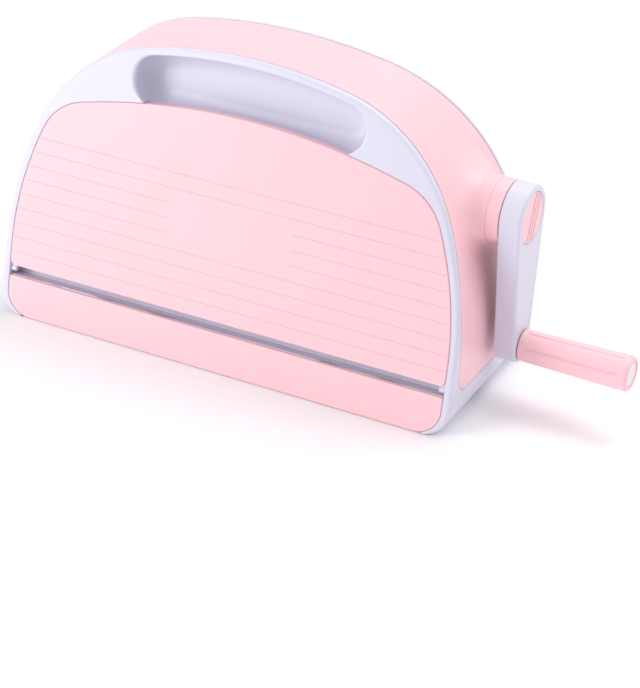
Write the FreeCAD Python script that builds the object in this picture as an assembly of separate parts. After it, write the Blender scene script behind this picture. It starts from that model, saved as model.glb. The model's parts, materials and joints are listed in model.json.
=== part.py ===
import FreeCAD, Part
import math
import os

from FreeCAD import Vector

# All sizes are in millimetres and degrees. X runs to the crank side, Y runs from front to back, Z is up.
# The origin is the middle of the underside, and the front and back faces are mirror images.

# Case: an arch, upright at the foot, whose two faces lean back to a narrow top
body_half_width = 162.0
body_height = 202.0
base_depth = 136.0
face_lean = 10.5
side_straight_top = 45.0
side_radius = 226.0
shoulder_radius = 105.0
top_radius = 338.0
foot_radius = 16.0

# Outer shell and the flared boss for the crank
shell_wall = 2.6
shell_bottom = 24.2
shell_corner = 10.0
seam_bend = 200.0
seam_clearance = 0.2
boss_radius = 20.8
flare_seam_gap = 3.6
boss_wall = 3.0
collar_length = 8.5
collar_bore_gap = 1.0

# White face frames
rim_depth = 4.0
rim_foot_depth = 12.4
rim_round = 3.0
rim_width = 5.0
tongue_wall = 1.6
tongue_depth = 4.0
tongue_start = 34.0
bay_clearance = 0.9
bay_skin = 2.0
shelf_thickness = 2.0

# Sill under the slot
sill_top = 26.9
sill_thickness = 2.4
sill_corner = 17.0
sill_top_corner = 1.5
sill_gap = 0.5
sill_ground_gap = 0.4
sill_round = 0.8
slot_height = 7.0
slot_corner = 1.5

# Fold-down trays
tray_crown_drop = 37.4
tray_crown_radius = 455.0
tray_shoulder_radius = 20.0
tray_corner = 4.0
tray_gap = 0.6
tray_thickness = 6.5
tray_skin = 2.6
tray_wall = 2.0
tray_round = 0.8
table_thickness = 2.0
table_gap = 0.1
tray_rib_count = 6
tray_rib_width = 1.6
hinge_drop = 2.7
hinge_pin_radius = 1.25
hinge_ear_radius = 2.3
hinge_ear_length = 4.0
running_gap = 0.05
seat_gap = 0.02

# Fine grooves across the tray, with a bare place left in the middle of three of them
groove_count = 9
groove_pitch = 10.0
groove_first = 10.2
groove_width = 0.6
groove_depth = 0.4
groove_edge_margin = 1.2
bare_half_width = 44.0
bare_grooves = (4, 5, 6)

# Carry recess above each tray
cup_lip = 4.4
cup_half_length = 81.0
cup_low_radius = 17.4
cup_high_radius = 11.0
cup_height = 40.5
cup_depth = 24.0
cup_back_round = 10.0
cup_wall = 2.0

# Base pan
pan_floor = 3.0
pan_end_wall = 2.5
pan_lip_wall = 1.5
pan_lip_height = 5.0
corner_fill = 0.7
pad_radius = 9.0
pad_thickness = 2.0
pad_inset_x = 40.0
pad_inset_y = 22.0

# Steel side plates with their tie rods
plate_shell_gap = 5.5
drive_space = 50.0
plate_thickness = 3.0
plate_foot_half = 42.0
plate_top_half = 20.0
plate_corner = 8.0
flange_width = 12.0
rod_radius = 4.0
rod_end_radius = 3.0
rod_side_z = 104.0
rod_bush_gap = 1.5
rod_edge = 2.0
nut_radius = 5.0

# Rollers, bushes and feed tables
roller_radius = 11.0
roller_end_gap = 1.5
journal_radius = 6.0
bush_wall = 2.0
bush_flange_radius = 10.0
bush_flange = 2.0
nip_rise = 0.2
platform_thickness = 2.8
platform_side_gap = 1.0
platform_roller_gap = 2.5
platform_face_gap = 0.6
platform_leg = 2.5
platform_leg_inset = 4.0
feed_opening_rise = 17.0
feed_opening_drop = 0.3

# Gear train
gear_module = 2.0
pinion_teeth = 14
idler_teeth = 17
drive_teeth = 24
mesh_teeth = 17
gear_width = 8.0
gear_gap = 2.0
gear_side_gap = 0.5
gear_backlash = 0.3
pressure_angle = 20.0
root_clearance = 0.25
flank_points = 5
idler_pin_radius = 4.0
idler_shoulder_radius = 6.5
idler_head_radius = 6.5
idler_head = 2.0

# Crank
arm_gap = 0.6
arm_clearance = 5.7
arm_thickness = 13.8
arm_end_radius = 12.0
arm_length = 88.0
arm_round = 1.5
arm_wall = 3.0
arm_face_wall = 5.5
arm_rib = 2.5
hub_radius = 11.0
spindle_boss_radius = 8.0
shaft_inner_end = 8.0
boss_bush_radius = 10.0
boss_bush_length = 18.0
cap_radius = 16.4
cap_thickness = 2.4
cap_recess = 0.2
cap_gap = 0.2
cap_groove_count = 3
cap_groove_pitch = 4.2
cap_groove_shift = 2.2
cap_groove_width = 0.9
cap_groove_depth = 0.7
cap_groove_turn = 20.0
screw_radius = 2.5
screw_head_radius = 4.5
screw_head = 3.0
screw_length = 14.0
hub_floor = 2.0

# Grip
grip_length = 72.0
grip_root_radius = 10.2
grip_end_radius = 11.5
grip_end_round = 2.0
grip_gap = 0.4
grip_groove_count = 6
grip_groove_width = 0.9
grip_groove_depth = 0.5
grip_groove_margin = 4.0
grip_groove_turn = 12.6
spindle_radius = 4.0
spindle_grip_in = 10.0
spindle_washer_radius = 7.0
spindle_washer = 0.8
spindle_head_radius = 6.5
spindle_head = 3.0
spindle_head_gap = 0.5
end_cap_radius = 8.4
end_cap_thickness = 2.0
end_cap_recess = 0.3

# Fasteners
frame_screw_count = 3
frame_screw_pitch = 105.0
frame_screw_height = 14.0
frame_screw_radius = 1.5
frame_screw_head_radius = 3.0
frame_screw_length = 8.0
frame_post_radius = 3.5
chassis_pad_gap = 3.0
chassis_screw_radius = 2.0
chassis_head_radius = 4.0
chassis_head = 2.0

# Values that follow from the sizes above
reach = 3 * body_half_width
along_x = Vector(1, 0, 0)
along_y = Vector(0, 1, 0)
along_z = Vector(0, 0, 1)
lean_cos = math.cos(math.radians(face_lean))
lean_sin = math.sin(math.radians(face_lean))
lean_tan = math.tan(math.radians(face_lean))

slant_height = body_height / lean_cos
tray_half_width = body_half_width - rim_width
tray_top = slant_height - tray_crown_drop
tray_bottom = sill_top + slot_height
tray_straight_top = side_straight_top / lean_cos
tray_side_radius = side_radius - rim_width
bay_wall = rim_width - tray_gap - shell_wall - seam_clearance
bay_floor = tray_thickness + bay_clearance
bay_back = bay_floor + bay_skin
pan_wall = shell_wall + seam_clearance + pan_lip_wall

corner_top = shell_bottom + corner_fill * shell_corner

hinge_depth = tray_thickness / 2
hinge_rise = tray_bottom - hinge_drop
hinge_z = hinge_rise * lean_cos - hinge_depth * lean_sin
platform_top = hinge_z + tray_thickness / 2

right_plate_inner = body_half_width - drive_space
right_plate_outer = right_plate_inner + plate_thickness
train_start = right_plate_outer + bush_flange + gear_side_gap
train_end = train_start + gear_width
mesh_start = train_end + gear_gap
mesh_end = mesh_start + gear_width

lower_axis = platform_top + nip_rise - roller_radius
upper_axis = lower_axis + gear_module * mesh_teeth
idler_axis = upper_axis + gear_module * (drive_teeth + idler_teeth) / 2
crank_axis = idler_axis + gear_module * (idler_teeth + pinion_teeth) / 2
grip_axis = crank_axis - arm_length

nut_height = bush_flange
rod_top_z = crank_axis + bush_flange_radius + nut_radius + rod_bush_gap
plate_height = rod_top_z + nut_radius + rod_edge
plate_taper = (plate_foot_half - plate_top_half) / (plate_height - pan_floor)
rod_side_y = plate_foot_half - plate_taper * (rod_side_z - pan_floor) - nut_radius - rod_edge
pad_x = body_half_width - pad_inset_x
pad_y = base_depth / 2 - pad_inset_y
chassis_screw_y = pad_y - pad_radius - chassis_pad_gap - chassis_head_radius

arm_head_radius = boss_radius
arm_inner = body_half_width + arm_clearance
arm_outer = arm_inner + arm_thickness
collar_end = arm_inner - arm_gap
boss_end = collar_end - collar_length
hub_end = arm_outer - cap_thickness - cap_recess - screw_head
shaft_end = hub_end - hub_floor
grip_start = arm_outer + spindle_washer + grip_gap
grip_end = grip_start + grip_length
spindle_head_start = grip_end - end_cap_thickness - end_cap_recess - spindle_head - spindle_head_gap


# Drawing helpers
def on_front(shape):
    """Carries a piece drawn upright, its outside on y = 0, onto the leaning front face."""
    placed = shape.copy()
    placed.rotate(Vector(0, 0, 0), along_x, -face_lean)
    placed.translate(Vector(0, -base_depth / 2, 0))
    return placed


def on_back(shape):
    """Mirrors a finished front piece to the back of the machine."""
    return shape.mirror(Vector(0, 0, 0), along_y)


def face_y(height, setback):
    """Gives y at a height on a plane set back squarely from the front face."""
    return -base_depth / 2 + setback / lean_cos + height * lean_tan


def box(low, high):
    """Makes a box between two corners."""
    return Part.makeBox(high[0] - low[0], high[1] - low[1], high[2] - low[2], Vector(*low))


def rod_x(radius, start, end, height, y=0.0):
    """Makes a round bar along X."""
    return Part.makeCylinder(radius, end - start, Vector(start, y, height), along_x)


def rod_z(radius, low, high, x, y):
    """Makes a round bar along Z."""
    return Part.makeCylinder(radius, high - low, Vector(x, y, low), along_z)


def arc_about(centre, start, end):
    """Draws the shorter arc about a centre between two points."""
    middle = ((start + end) * 0.5 - centre).normalize()
    return Part.Arc(start, centre + middle * (start - centre).Length, end).toShape()


def meeting_point(first, first_reach, second, second_reach):
    """Finds the point right of two centres at the given distance from each."""
    span = second - first
    along = (first_reach ** 2 - second_reach ** 2 + span.Length ** 2) / (2 * span.Length)
    aside = math.sqrt(first_reach ** 2 - along ** 2)
    direction = Vector(span).normalize()
    return first + direction * along + Vector(-direction.z, 0, direction.x) * aside


def mirrored(point):
    """Gives a point's mirror image on the left."""
    return Vector(-point.x, point.y, point.z)


def arch_wire(half_width, bottom, corner, straight_top, side_r, shoulder_r, crown_r, top):
    """Draws an arch on the XZ plane: flat foot, round corners, upright sides, tangent arcs over the top."""
    side_centre = Vector(half_width - side_r, 0, straight_top)
    crown_centre = Vector(0, 0, top - crown_r)
    shoulder_centre = meeting_point(side_centre, side_r - shoulder_r, crown_centre, crown_r - shoulder_r)
    corner_centre = Vector(half_width - corner, 0, bottom + corner)
    foot = Vector(half_width - corner, 0, bottom)
    side_low = Vector(half_width, 0, bottom + corner)
    side_high = Vector(half_width, 0, straight_top)
    side_end = side_centre + (shoulder_centre - side_centre).normalize() * side_r
    crown_end = crown_centre + (shoulder_centre - crown_centre).normalize() * crown_r
    right = [arc_about(corner_centre, foot, side_low),
             Part.makeLine(side_low, side_high),
             arc_about(side_centre, side_high, side_end),
             arc_about(shoulder_centre, side_end, crown_end)]
    left = [arc_about(mirrored(corner_centre), mirrored(foot), mirrored(side_low)),
            Part.makeLine(mirrored(side_low), mirrored(side_high)),
            arc_about(mirrored(side_centre), mirrored(side_high), mirrored(side_end)),
            arc_about(mirrored(shoulder_centre), mirrored(side_end), mirrored(crown_end))]
    middle = [Part.makeLine(mirrored(foot), foot), arc_about(crown_centre, crown_end, mirrored(crown_end))]
    return Part.Wire(Part.__sortEdges__(right + left + middle))


def upright(wire, near, far):
    """Pulls an outline on the XZ plane into a slab between two depths."""
    slab = Part.Face(wire).extrude(Vector(0, far - near, 0))
    slab.translate(Vector(0, near, 0))
    return slab


def body_prism(inset, bottom=None):
    """Pulls the case outline, offset inwards, right through the machine."""
    foot = inset if bottom is None else bottom
    wire = arch_wire(body_half_width - inset, foot, foot_radius - inset, side_straight_top,
                     side_radius - inset, shoulder_radius - inset, top_radius - inset, body_height - inset)
    return upright(wire, -base_depth, base_depth)


def case_half_width(inset, height):
    """Gives half the width of the case outline, offset inwards, at a height."""
    return body_prism(inset).slice(along_z, height)[0].BoundBox.XMax


def wedge(setback, low, high):
    """Makes the space between the two leaning faces, set back from each, from one height to another."""
    corners = [Vector(-reach, face_y(low, setback), low), Vector(-reach, -face_y(low, setback), low),
               Vector(-reach, -face_y(high, setback), high), Vector(-reach, face_y(high, setback), high)]
    return Part.Face(Part.makePolygon(corners + corners[:1])).extrude(Vector(2 * reach, 0, 0))


def front_slab(near, far):
    """Makes the layer between two depths behind the front face."""
    return on_front(box((-reach, near, -reach), (reach, far, reach)))


def tray_wire(grow, bottom, corner):
    """Draws the tray outline, offset outwards, down to a given lower edge with its corner radius."""
    return arch_wire(tray_half_width + grow, bottom, corner, tray_straight_top, tray_side_radius + grow,
                     tray_shoulder_radius + grow, tray_crown_radius + grow, tray_top + grow)


def tray_inset_wire(inset):
    """Draws the tray outline, offset inwards all round."""
    return tray_wire(-inset, tray_bottom + inset, tray_corner - inset)


def straight_edges(shape, direction):
    """Lists the straight edges of a shape that run along a direction."""
    lines = [edge for edge in shape.Edges if edge.Curve.TypeId == "Part::GeomLine"]
    return [edge for edge in lines if abs(edge.tangentAt(edge.FirstParameter).dot(direction)) > 0.999]


def edges_between(edges, low, high):
    """Keeps the edges whose middle lies between two heights."""
    return [edge for edge in edges if low < edge.CenterOfMass.z < high]


def edges_on_plane(shape, point, normal):
    """Lists the edges of a shape that lie on a plane."""
    return [edge for edge in shape.Edges
            if all(abs((vertex.Point - point).dot(normal)) < 0.01 for vertex in edge.Vertexes)
            and abs((edge.CenterOfMass - point).dot(normal)) < 0.01]


# Places that follow from the outline of the case
left_plate_outer = plate_shell_gap + nut_height - case_half_width(shell_wall, plate_height)
left_plate_inner = left_plate_outer + plate_thickness
boss_flare = -face_y(crank_axis, rim_depth) - boss_radius - flare_seam_gap


# Outer shell
def boss_root_edges(hull):
    """Lists the curved edges where the crank boss meets the side of the case."""
    found = []
    for edge in hull.Edges:
        rounds = [math.hypot(vertex.Y, vertex.Z - crank_axis) for vertex in edge.Vertexes]
        on_boss = all(abs(distance - boss_radius) < 0.01 for distance in rounds)
        if on_boss and edge.Curve.TypeId != "Part::GeomLine" and edge.CenterOfMass.x < boss_end - 1:
            found.append(edge)
    return found


def shell_hull():
    """Makes the outside of the shell as a solid: upright edges at the foot, lower corners rounded."""
    foot = -face_y(shell_bottom, rim_foot_depth)
    hull = body_prism(0).common(wedge(rim_depth, shell_bottom, body_height + 1))
    hull = hull.common(box((-reach, -foot, 0), (reach, foot, reach)))
    hull = hull.makeFillet(seam_bend, edges_between(straight_edges(hull, along_x), shell_bottom + 1, reach))
    return hull.makeFillet(shell_corner, edges_between(straight_edges(hull, along_x), 0, shell_bottom + 1))


def make_outer_shell():
    """Arched cover between the face frames, with the flared boss that carries the crank."""
    hull = shell_hull()
    hull = hull.fuse(rod_x(boss_radius, right_plate_outer, boss_end, crank_axis)).removeSplitter()
    hull = hull.makeFillet(boss_flare, boss_root_edges(hull))
    shell = hull.cut(body_prism(shell_wall))
    tube_outer = boss_bush_radius + boss_wall
    hollow = rod_x(boss_radius - boss_wall, right_plate_outer, boss_end - boss_wall, crank_axis)
    hollow = hollow.cut(rod_x(tube_outer, boss_end - boss_bush_length, boss_end, crank_axis))
    return shell.cut(hollow).cut(rod_x(boss_bush_radius, right_plate_outer, boss_end, crank_axis))


def make_crank_collar():
    """Ring that closes the end of the boss and guides the crank arm."""
    ring = rod_x(boss_radius, boss_end, collar_end, crank_axis)
    return ring.cut(rod_x(journal_radius + collar_bore_gap, boss_end, collar_end, crank_axis))


# Face frames, sills and carry cups
def cup_plug(grow):
    """Makes the space of the carry recess, or its outside when grown by the wall."""
    crown_r = top_radius - cup_lip + grow
    top = slant_height - cup_lip + grow
    half = cup_half_length + grow
    low = slant_height - cup_lip - cup_height - grow
    shoulder = top - crown_r + math.sqrt(crown_r ** 2 - half ** 2)
    corners = [Vector(x, 0, z) for x, z in ((-half, shoulder), (-half, low), (half, low), (half, shoulder))]
    sides = [Part.makeLine(corners[i], corners[i + 1]) for i in range(3)]
    crown = Part.Arc(corners[3], Vector(0, 0, top), corners[0]).toShape()
    plug = upright(Part.Wire(sides + [crown]), -1, cup_depth + grow)
    low_ends = edges_between(straight_edges(plug, along_y), low - 1, low + 1)
    plug = plug.makeFillet(cup_low_radius + grow, low_ends)
    high_ends = edges_between(straight_edges(plug, along_y), shoulder - 1, shoulder + 1)
    plug = plug.makeFillet(cup_high_radius + grow, high_ends)
    back = edges_on_plane(plug, Vector(0, cup_depth + grow, 0), along_y)
    return plug.makeFillet(cup_back_round + grow, back)


def sill_wire(grow, bottom):
    """Draws the sill: small upper corners and large round lower ones."""
    half = tray_half_width + grow
    corner = sill_corner + grow
    small = sill_top_corner + grow
    top = sill_top + grow
    low = Vector(half - corner, 0, bottom)
    side = Vector(half, 0, bottom + corner)
    shoulder = Vector(half, 0, top - small)
    crown = Vector(half - small, 0, top)
    centre = Vector(half - corner, 0, bottom + corner)
    small_centre = Vector(half - small, 0, top - small)
    edges = [Part.makeLine(mirrored(low), low), arc_about(centre, low, side), Part.makeLine(side, shoulder),
             arc_about(small_centre, shoulder, crown), Part.makeLine(crown, mirrored(crown)),
             arc_about(mirrored(small_centre), mirrored(crown), mirrored(shoulder)),
             Part.makeLine(mirrored(shoulder), mirrored(side)),
             arc_about(mirrored(centre), mirrored(side), mirrored(low))]
    return Part.Wire(edges)


def frame_screw_places():
    """Lists where the frame screws stand across the face."""
    middle = (frame_screw_count - 1) / 2
    return [(i - middle) * frame_screw_pitch for i in range(frame_screw_count)]


def frame_screw(x, clearance):
    """Makes one flat-headed screw, or its hole when given a clearance, drawn upright."""
    head_depth = rim_depth - sill_thickness
    place = Vector(x, sill_thickness, frame_screw_height)
    head = Part.makeCone(frame_screw_head_radius + clearance, frame_screw_radius + clearance, head_depth,
                         place, along_y)
    shank = Part.makeCylinder(frame_screw_radius + clearance, frame_screw_length, place, along_y)
    return head.fuse(shank)


def hinge_pin(side):
    """Makes one hinge pin, from the bay wall into the tray ear, drawn upright."""
    outer = tray_half_width + tray_gap + bay_wall
    inner = tray_half_width - hinge_ear_length + seam_clearance
    start = Vector(side * inner, hinge_depth, hinge_rise)
    return Part.makeCylinder(hinge_pin_radius, outer - inner, start, Vector(side, 0, 0))


def bay_block(grow):
    """Makes the block of the tray bay down to its shelf, drawn upright, or its space when grown."""
    wire = tray_wire(tray_gap + bay_wall + grow, sill_top - shelf_thickness - grow, slot_corner)
    return upright(wire, rim_depth / 2, bay_back + grow)


def make_front_frame():
    """White face: round outer rim, recessed tray bay with the feed opening, and the carry opening."""
    rim = body_prism(0).common(front_slab(0, rim_depth))
    face_normal = Vector(0, lean_cos, -lean_sin)
    rim = rim.makeFillet(rim_round, edges_on_plane(rim, Vector(0, -base_depth / 2, 0), face_normal))
    foot = body_prism(0).cut(body_prism(shell_wall)).common(wedge(rim_round, corner_top, body_height + 1))
    foot = foot.cut(shell_hull()).common(box((-reach, -reach, 0), (reach, 0, reach)))
    inside = body_prism(shell_wall + seam_clearance)
    tongue = inside.cut(body_prism(shell_wall + seam_clearance + tongue_wall))
    tongue = tongue.common(front_slab(rim_depth / 2, rim_depth + tongue_depth))
    tongue = tongue.common(box((-reach, -reach, tongue_start), (reach, reach, 2 * body_height)))
    frame = rim.fuse(foot).fuse(on_front(bay_block(0)).common(inside)).fuse(tongue)
    cuts = [upright(tray_wire(tray_gap, sill_top, slot_corner), -1, bay_floor),
            upright(sill_wire(sill_gap, -sill_gap), -1, sill_thickness),
            cup_plug(0),
            cup_plug(cup_wall).cut(box((-reach, -2, 0), (reach, rim_depth, 2 * body_height)))]
    cuts += [frame_screw(x, seat_gap) for x in frame_screw_places()]
    for cut in cuts:
        frame = frame.cut(on_front(cut))
    for side in (-1, 1):
        frame = frame.cut(on_front(hinge_pin(side)))
    feed = box((left_plate_inner, -base_depth, platform_top - feed_opening_drop),
               (right_plate_inner, 0, platform_top + feed_opening_rise))
    return frame.cut(feed.common(front_slab(0, bay_back + 1)))


def make_front_sill():
    """Pink strip under the slot; its lower corners follow the round foot of the case."""
    sill = upright(sill_wire(0, 0), 0, sill_thickness)
    front = edges_on_plane(sill, Vector(0, 0, 0), along_y)
    sill = on_front(sill.makeFillet(sill_round, edges_between(front, sill_round, reach)))
    return sill.common(box((-reach, -reach, sill_ground_gap), (reach, reach, reach)))


def make_front_handle_cup():
    """White bathtub-shaped recess for the fingers behind the carry opening."""
    cup = cup_plug(cup_wall).cut(cup_plug(0))
    cup = cup.cut(box((-reach, -2, 0), (reach, rim_depth, 2 * body_height)))
    cup = cup.cut(upright(tray_wire(tray_gap, sill_top, slot_corner), 0, bay_floor))
    return on_front(cup).common(body_prism(shell_wall + seam_clearance))


# Fold-down trays
def tray_groove(index):
    """Makes the cutters of one groove across the tray, in two halves where the middle stays bare."""
    height = tray_bottom + groove_first + index * groove_pitch
    low = height - groove_width / 2
    high = height + groove_width / 2
    end = tray_half_width
    if index in bare_grooves:
        return [box((-end, -1, low), (-bare_half_width, groove_depth, high)),
                box((bare_half_width, -1, low), (end, groove_depth, high))]
    return [box((-end, -1, low), (end, groove_depth, high))]


def make_front_tray_cover():
    """Pink outside of the tray: grooved skin, edge wall, inner ribs and the two hinge ears."""
    cover = upright(tray_inset_wire(0), 0, tray_thickness)
    cover = cover.makeFillet(tray_round, edges_on_plane(cover, Vector(0, 0, 0), along_y))
    inner_wire = tray_inset_wire(tray_wall)
    cover = cover.cut(upright(inner_wire, tray_skin, tray_thickness))
    step = 2 * tray_half_width / (tray_rib_count + 1)
    rib_space = upright(inner_wire, tray_skin, tray_thickness - table_thickness)
    for i in range(tray_rib_count):
        x = -tray_half_width + (i + 1) * step
        rib = box((x - tray_rib_width / 2, 0, 0), (x + tray_rib_width / 2, tray_thickness, 2 * body_height))
        cover = cover.fuse(rib.common(rib_space))
    field = upright(tray_inset_wire(groove_edge_margin), -1, tray_skin)
    for i in range(groove_count):
        for cutter in tray_groove(i):
            cover = cover.cut(cutter.common(field))
    for side in (-1, 1):
        cover = cover.fuse(hinge_ear(side))
    for side in (-1, 1):
        cover = cover.cut(hinge_bore(side))
    return on_front(cover.removeSplitter())


def hinge_ear(side):
    """Makes one ear: a barrel round the pin and the web that joins it to the tray."""
    outer = side * tray_half_width
    inner = side * (tray_half_width - hinge_ear_length)
    low, high = min(outer, inner), max(outer, inner)
    barrel = Part.makeCylinder(hinge_ear_radius, high - low, Vector(low, hinge_depth, hinge_rise), along_x)
    web = box((low, hinge_depth - hinge_pin_radius, hinge_rise),
              (high, tray_thickness - table_thickness - table_gap, tray_bottom + tray_corner))
    return barrel.fuse(web)


def hinge_bore(side):
    """Makes the running hole for one hinge pin."""
    start = Vector(side * (tray_half_width - hinge_ear_length - 1), hinge_depth, hinge_rise)
    return Part.makeCylinder(hinge_pin_radius + running_gap, hinge_ear_length + 2, start, Vector(side, 0, 0))


def make_front_tray_table():
    """Flat working side of the tray, let into the cover."""
    outline = tray_inset_wire(tray_wall + table_gap)
    return on_front(upright(outline, tray_thickness - table_thickness, tray_thickness))


def make_front_hinge_pins():
    """Two pins that the front tray turns on."""
    return on_front(Part.makeCompound([hinge_pin(-1), hinge_pin(1)]))


# Base
def pad_places():
    """Lists the places of the four anti-slip pads."""
    return [(x, y) for x in (-pad_x, pad_x) for y in (-pad_y, pad_y)]


def chassis_screw_places():
    """Lists where the side plates are screwed to the base, through the middle of their flanges."""
    left = left_plate_outer - flange_width / 2
    right = right_plate_outer + flange_width / 2
    return [(x, y) for x in (left, right) for y in (-chassis_screw_y, chassis_screw_y)]


def chassis_screw(x, y, clearance):
    """Makes one screw with its head let into the underside, or its hole when given a clearance."""
    top = pan_floor + plate_thickness
    head = rod_z(chassis_head_radius + clearance, 0, chassis_head, x, y)
    return head.fuse(rod_z(chassis_screw_radius + clearance, 0, top, x, y))


def make_base_pan():
    """White base: round-footed side bands, floor, end walls, a lip that locates the shell, screw posts."""
    pan = body_prism(0).common(wedge(rim_depth, 0, shell_bottom))
    inside = wedge(rim_depth + pan_end_wall, 0, shell_bottom + 1)
    pan = pan.cut(body_prism(pan_wall, pan_floor).common(inside))
    lip = body_prism(shell_wall + seam_clearance).cut(body_prism(pan_wall))
    lip = lip.common(wedge(bay_back + 1, shell_bottom - 1, shell_bottom + pan_lip_height))
    corners = body_prism(0).cut(body_prism(shell_wall))
    corners = corners.common(wedge(rim_depth, shell_bottom - 1, corner_top))
    pan = pan.fuse(lip).fuse(corners.cut(shell_hull()))
    bay_space = on_front(bay_block(seam_clearance))
    pan = pan.cut(bay_space).cut(on_back(bay_space))
    for x in frame_screw_places():
        place = Vector(x, rim_depth, frame_screw_height)
        post = Part.makeCylinder(frame_post_radius, frame_screw_length, place, along_y)
        hole = frame_screw(x, seat_gap)
        pan = pan.fuse(on_front(post)).fuse(on_back(on_front(post)))
        pan = pan.cut(on_front(hole)).cut(on_back(on_front(hole)))
    for x, y in pad_places():
        pan = pan.cut(rod_z(pad_radius, 0, pad_thickness, x, y))
    for x, y in chassis_screw_places():
        pan = pan.cut(chassis_screw(x, y, seat_gap))
    return pan.removeSplitter()


def make_rubber_pads():
    """Four pads set flush into the underside."""
    radius = pad_radius - seat_gap
    return Part.makeCompound([rod_z(radius, 0, pad_thickness, x, y) for x, y in pad_places()])


def make_frame_screws():
    """Flat-headed screws that hold both frames to the base, hidden behind the sills."""
    front = [on_front(frame_screw(x, 0)) for x in frame_screw_places()]
    return Part.makeCompound(front + [on_back(screw) for screw in front])


def make_chassis_screws():
    """Screws from the underside that hold the side plates."""
    return Part.makeCompound([chassis_screw(x, y, 0) for x, y in chassis_screw_places()])


# Chassis
def rod_places():
    """Lists the tie rods as y and z."""
    return [(-rod_side_y, rod_side_z), (rod_side_y, rod_side_z), (0.0, rod_top_z)]


def side_plate(inner, outward):
    """Makes one steel side plate, tapered like the case, with a bent flange that stands on the base."""
    outer = inner + outward * plate_thickness
    low, high = min(inner, outer), max(inner, outer)
    corners = [Vector(low, -plate_foot_half, pan_floor), Vector(low, plate_foot_half, pan_floor),
               Vector(low, plate_top_half, plate_height), Vector(low, -plate_top_half, plate_height)]
    plate = Part.Face(Part.makePolygon(corners + corners[:1])).extrude(Vector(high - low, 0, 0))
    top_edges = edges_between(straight_edges(plate, along_x), plate_height - 1, reach)
    plate = plate.makeFillet(plate_corner, top_edges)
    flange_end = outer + outward * flange_width
    flange = box((min(outer, flange_end), -plate_foot_half, pan_floor),
                 (max(outer, flange_end), plate_foot_half, pan_floor + plate_thickness))
    plate = plate.fuse(flange)
    for axis in (lower_axis, upper_axis):
        plate = plate.cut(rod_x(journal_radius + bush_wall + seat_gap, low, high, axis))
    for y, z in rod_places():
        plate = plate.cut(rod_x(rod_end_radius + seat_gap, low, high, z, y))
    for x, y in chassis_screw_places():
        plate = plate.cut(chassis_screw(x, y, seat_gap))
    return plate.removeSplitter()


def make_left_side_plate():
    """Steel plate at the end away from the crank."""
    return side_plate(left_plate_inner, -1)


def make_right_side_plate():
    """Steel plate at the crank end, with holes for the crank bush and the idler pin."""
    plate = side_plate(right_plate_inner, 1)
    for radius, axis in ((journal_radius + bush_wall, crank_axis), (idler_pin_radius, idler_axis)):
        plate = plate.cut(rod_x(radius + seat_gap, right_plate_inner, right_plate_outer, axis))
    return plate


def make_tie_rods():
    """Three shouldered rods that hold the side plates apart."""
    rods = []
    for y, z in rod_places():
        shank = rod_x(rod_radius, left_plate_inner, right_plate_inner, z, y)
        ends = rod_x(rod_end_radius, left_plate_outer - nut_height, right_plate_outer + nut_height, z, y)
        rods.append(shank.fuse(ends))
    return Part.makeCompound(rods)


def make_tie_rod_nuts():
    """Hexagon nuts on both ends of the tie rods."""
    nuts = []
    for y, z in rod_places():
        for start in (left_plate_outer - nut_height, right_plate_outer):
            nut = hexagon(start, y, z).extrude(Vector(nut_height, 0, 0))
            nuts.append(nut.cut(rod_x(rod_end_radius + seat_gap, start, start + nut_height, z, y)))
    return Part.makeCompound(nuts)


def hexagon(x, y, z):
    """Draws the face of a hexagon nut."""
    angles = [math.radians(60 * i) for i in range(7)]
    corners = [Vector(x, y + nut_radius * math.cos(a), z + nut_radius * math.sin(a)) for a in angles]
    return Part.Face(Part.makePolygon(corners))


# Rollers and tables
def roller(axis):
    """Makes one steel roller with its journals turned in one piece."""
    body = rod_x(roller_radius, left_plate_inner + roller_end_gap, right_plate_inner - roller_end_gap, axis)
    return body.fuse(rod_x(journal_radius, left_plate_outer - bush_flange, mesh_end, axis))


def flanged_bush(plate_face, outward, axis):
    """Makes a bush through a side plate, its flange on the outside."""
    inner = plate_face - outward * plate_thickness
    flange_end = plate_face + outward * bush_flange
    sleeve = rod_x(journal_radius + bush_wall, min(inner, flange_end), max(inner, flange_end), axis)
    flange = rod_x(bush_flange_radius, min(plate_face, flange_end), max(plate_face, flange_end), axis)
    bore = rod_x(journal_radius + running_gap, min(inner, flange_end), max(inner, flange_end), axis)
    return sleeve.fuse(flange).cut(bore)


def roller_bushes(axis):
    """Makes the two bushes of one roller."""
    left = flanged_bush(left_plate_outer, -1, axis)
    return Part.makeCompound([left, flanged_bush(right_plate_outer, 1, axis)])


def make_front_platform():
    """Fixed table that leads from the open tray to the rollers, on two skirts that stand on the base."""
    left = left_plate_inner + platform_side_gap
    right = right_plate_inner - platform_side_gap
    low = platform_top - platform_thickness
    front = face_y(platform_top, bay_back + platform_face_gap)
    back = -(roller_radius + platform_roller_gap)
    table = box((left, front, low), (right, back, platform_top))
    first = front + platform_leg_inset
    last = back - platform_leg
    for start in (first, last):
        table = table.fuse(box((left, start, pan_floor), (right, start + platform_leg, low)))
    return table.removeSplitter()


# Gears
def involute_half_angle(teeth, radius):
    """Gives half the angle that a tooth spans at a radius, from its involute flanks."""
    pitch_radius = gear_module * teeth / 2
    pressure = math.radians(pressure_angle)
    flank = math.acos(min(1.0, pitch_radius * math.cos(pressure) / radius))
    thickness = math.pi * gear_module / 2 - gear_backlash / 2
    growth = math.tan(pressure) - pressure - math.tan(flank) + flank
    return thickness / (2 * pitch_radius) + growth


def gear_point(radius, angle, start):
    """Places a point of the gear outline: angle 0 is straight up."""
    return Vector(start, radius * math.sin(angle), radius * math.cos(angle))


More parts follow.
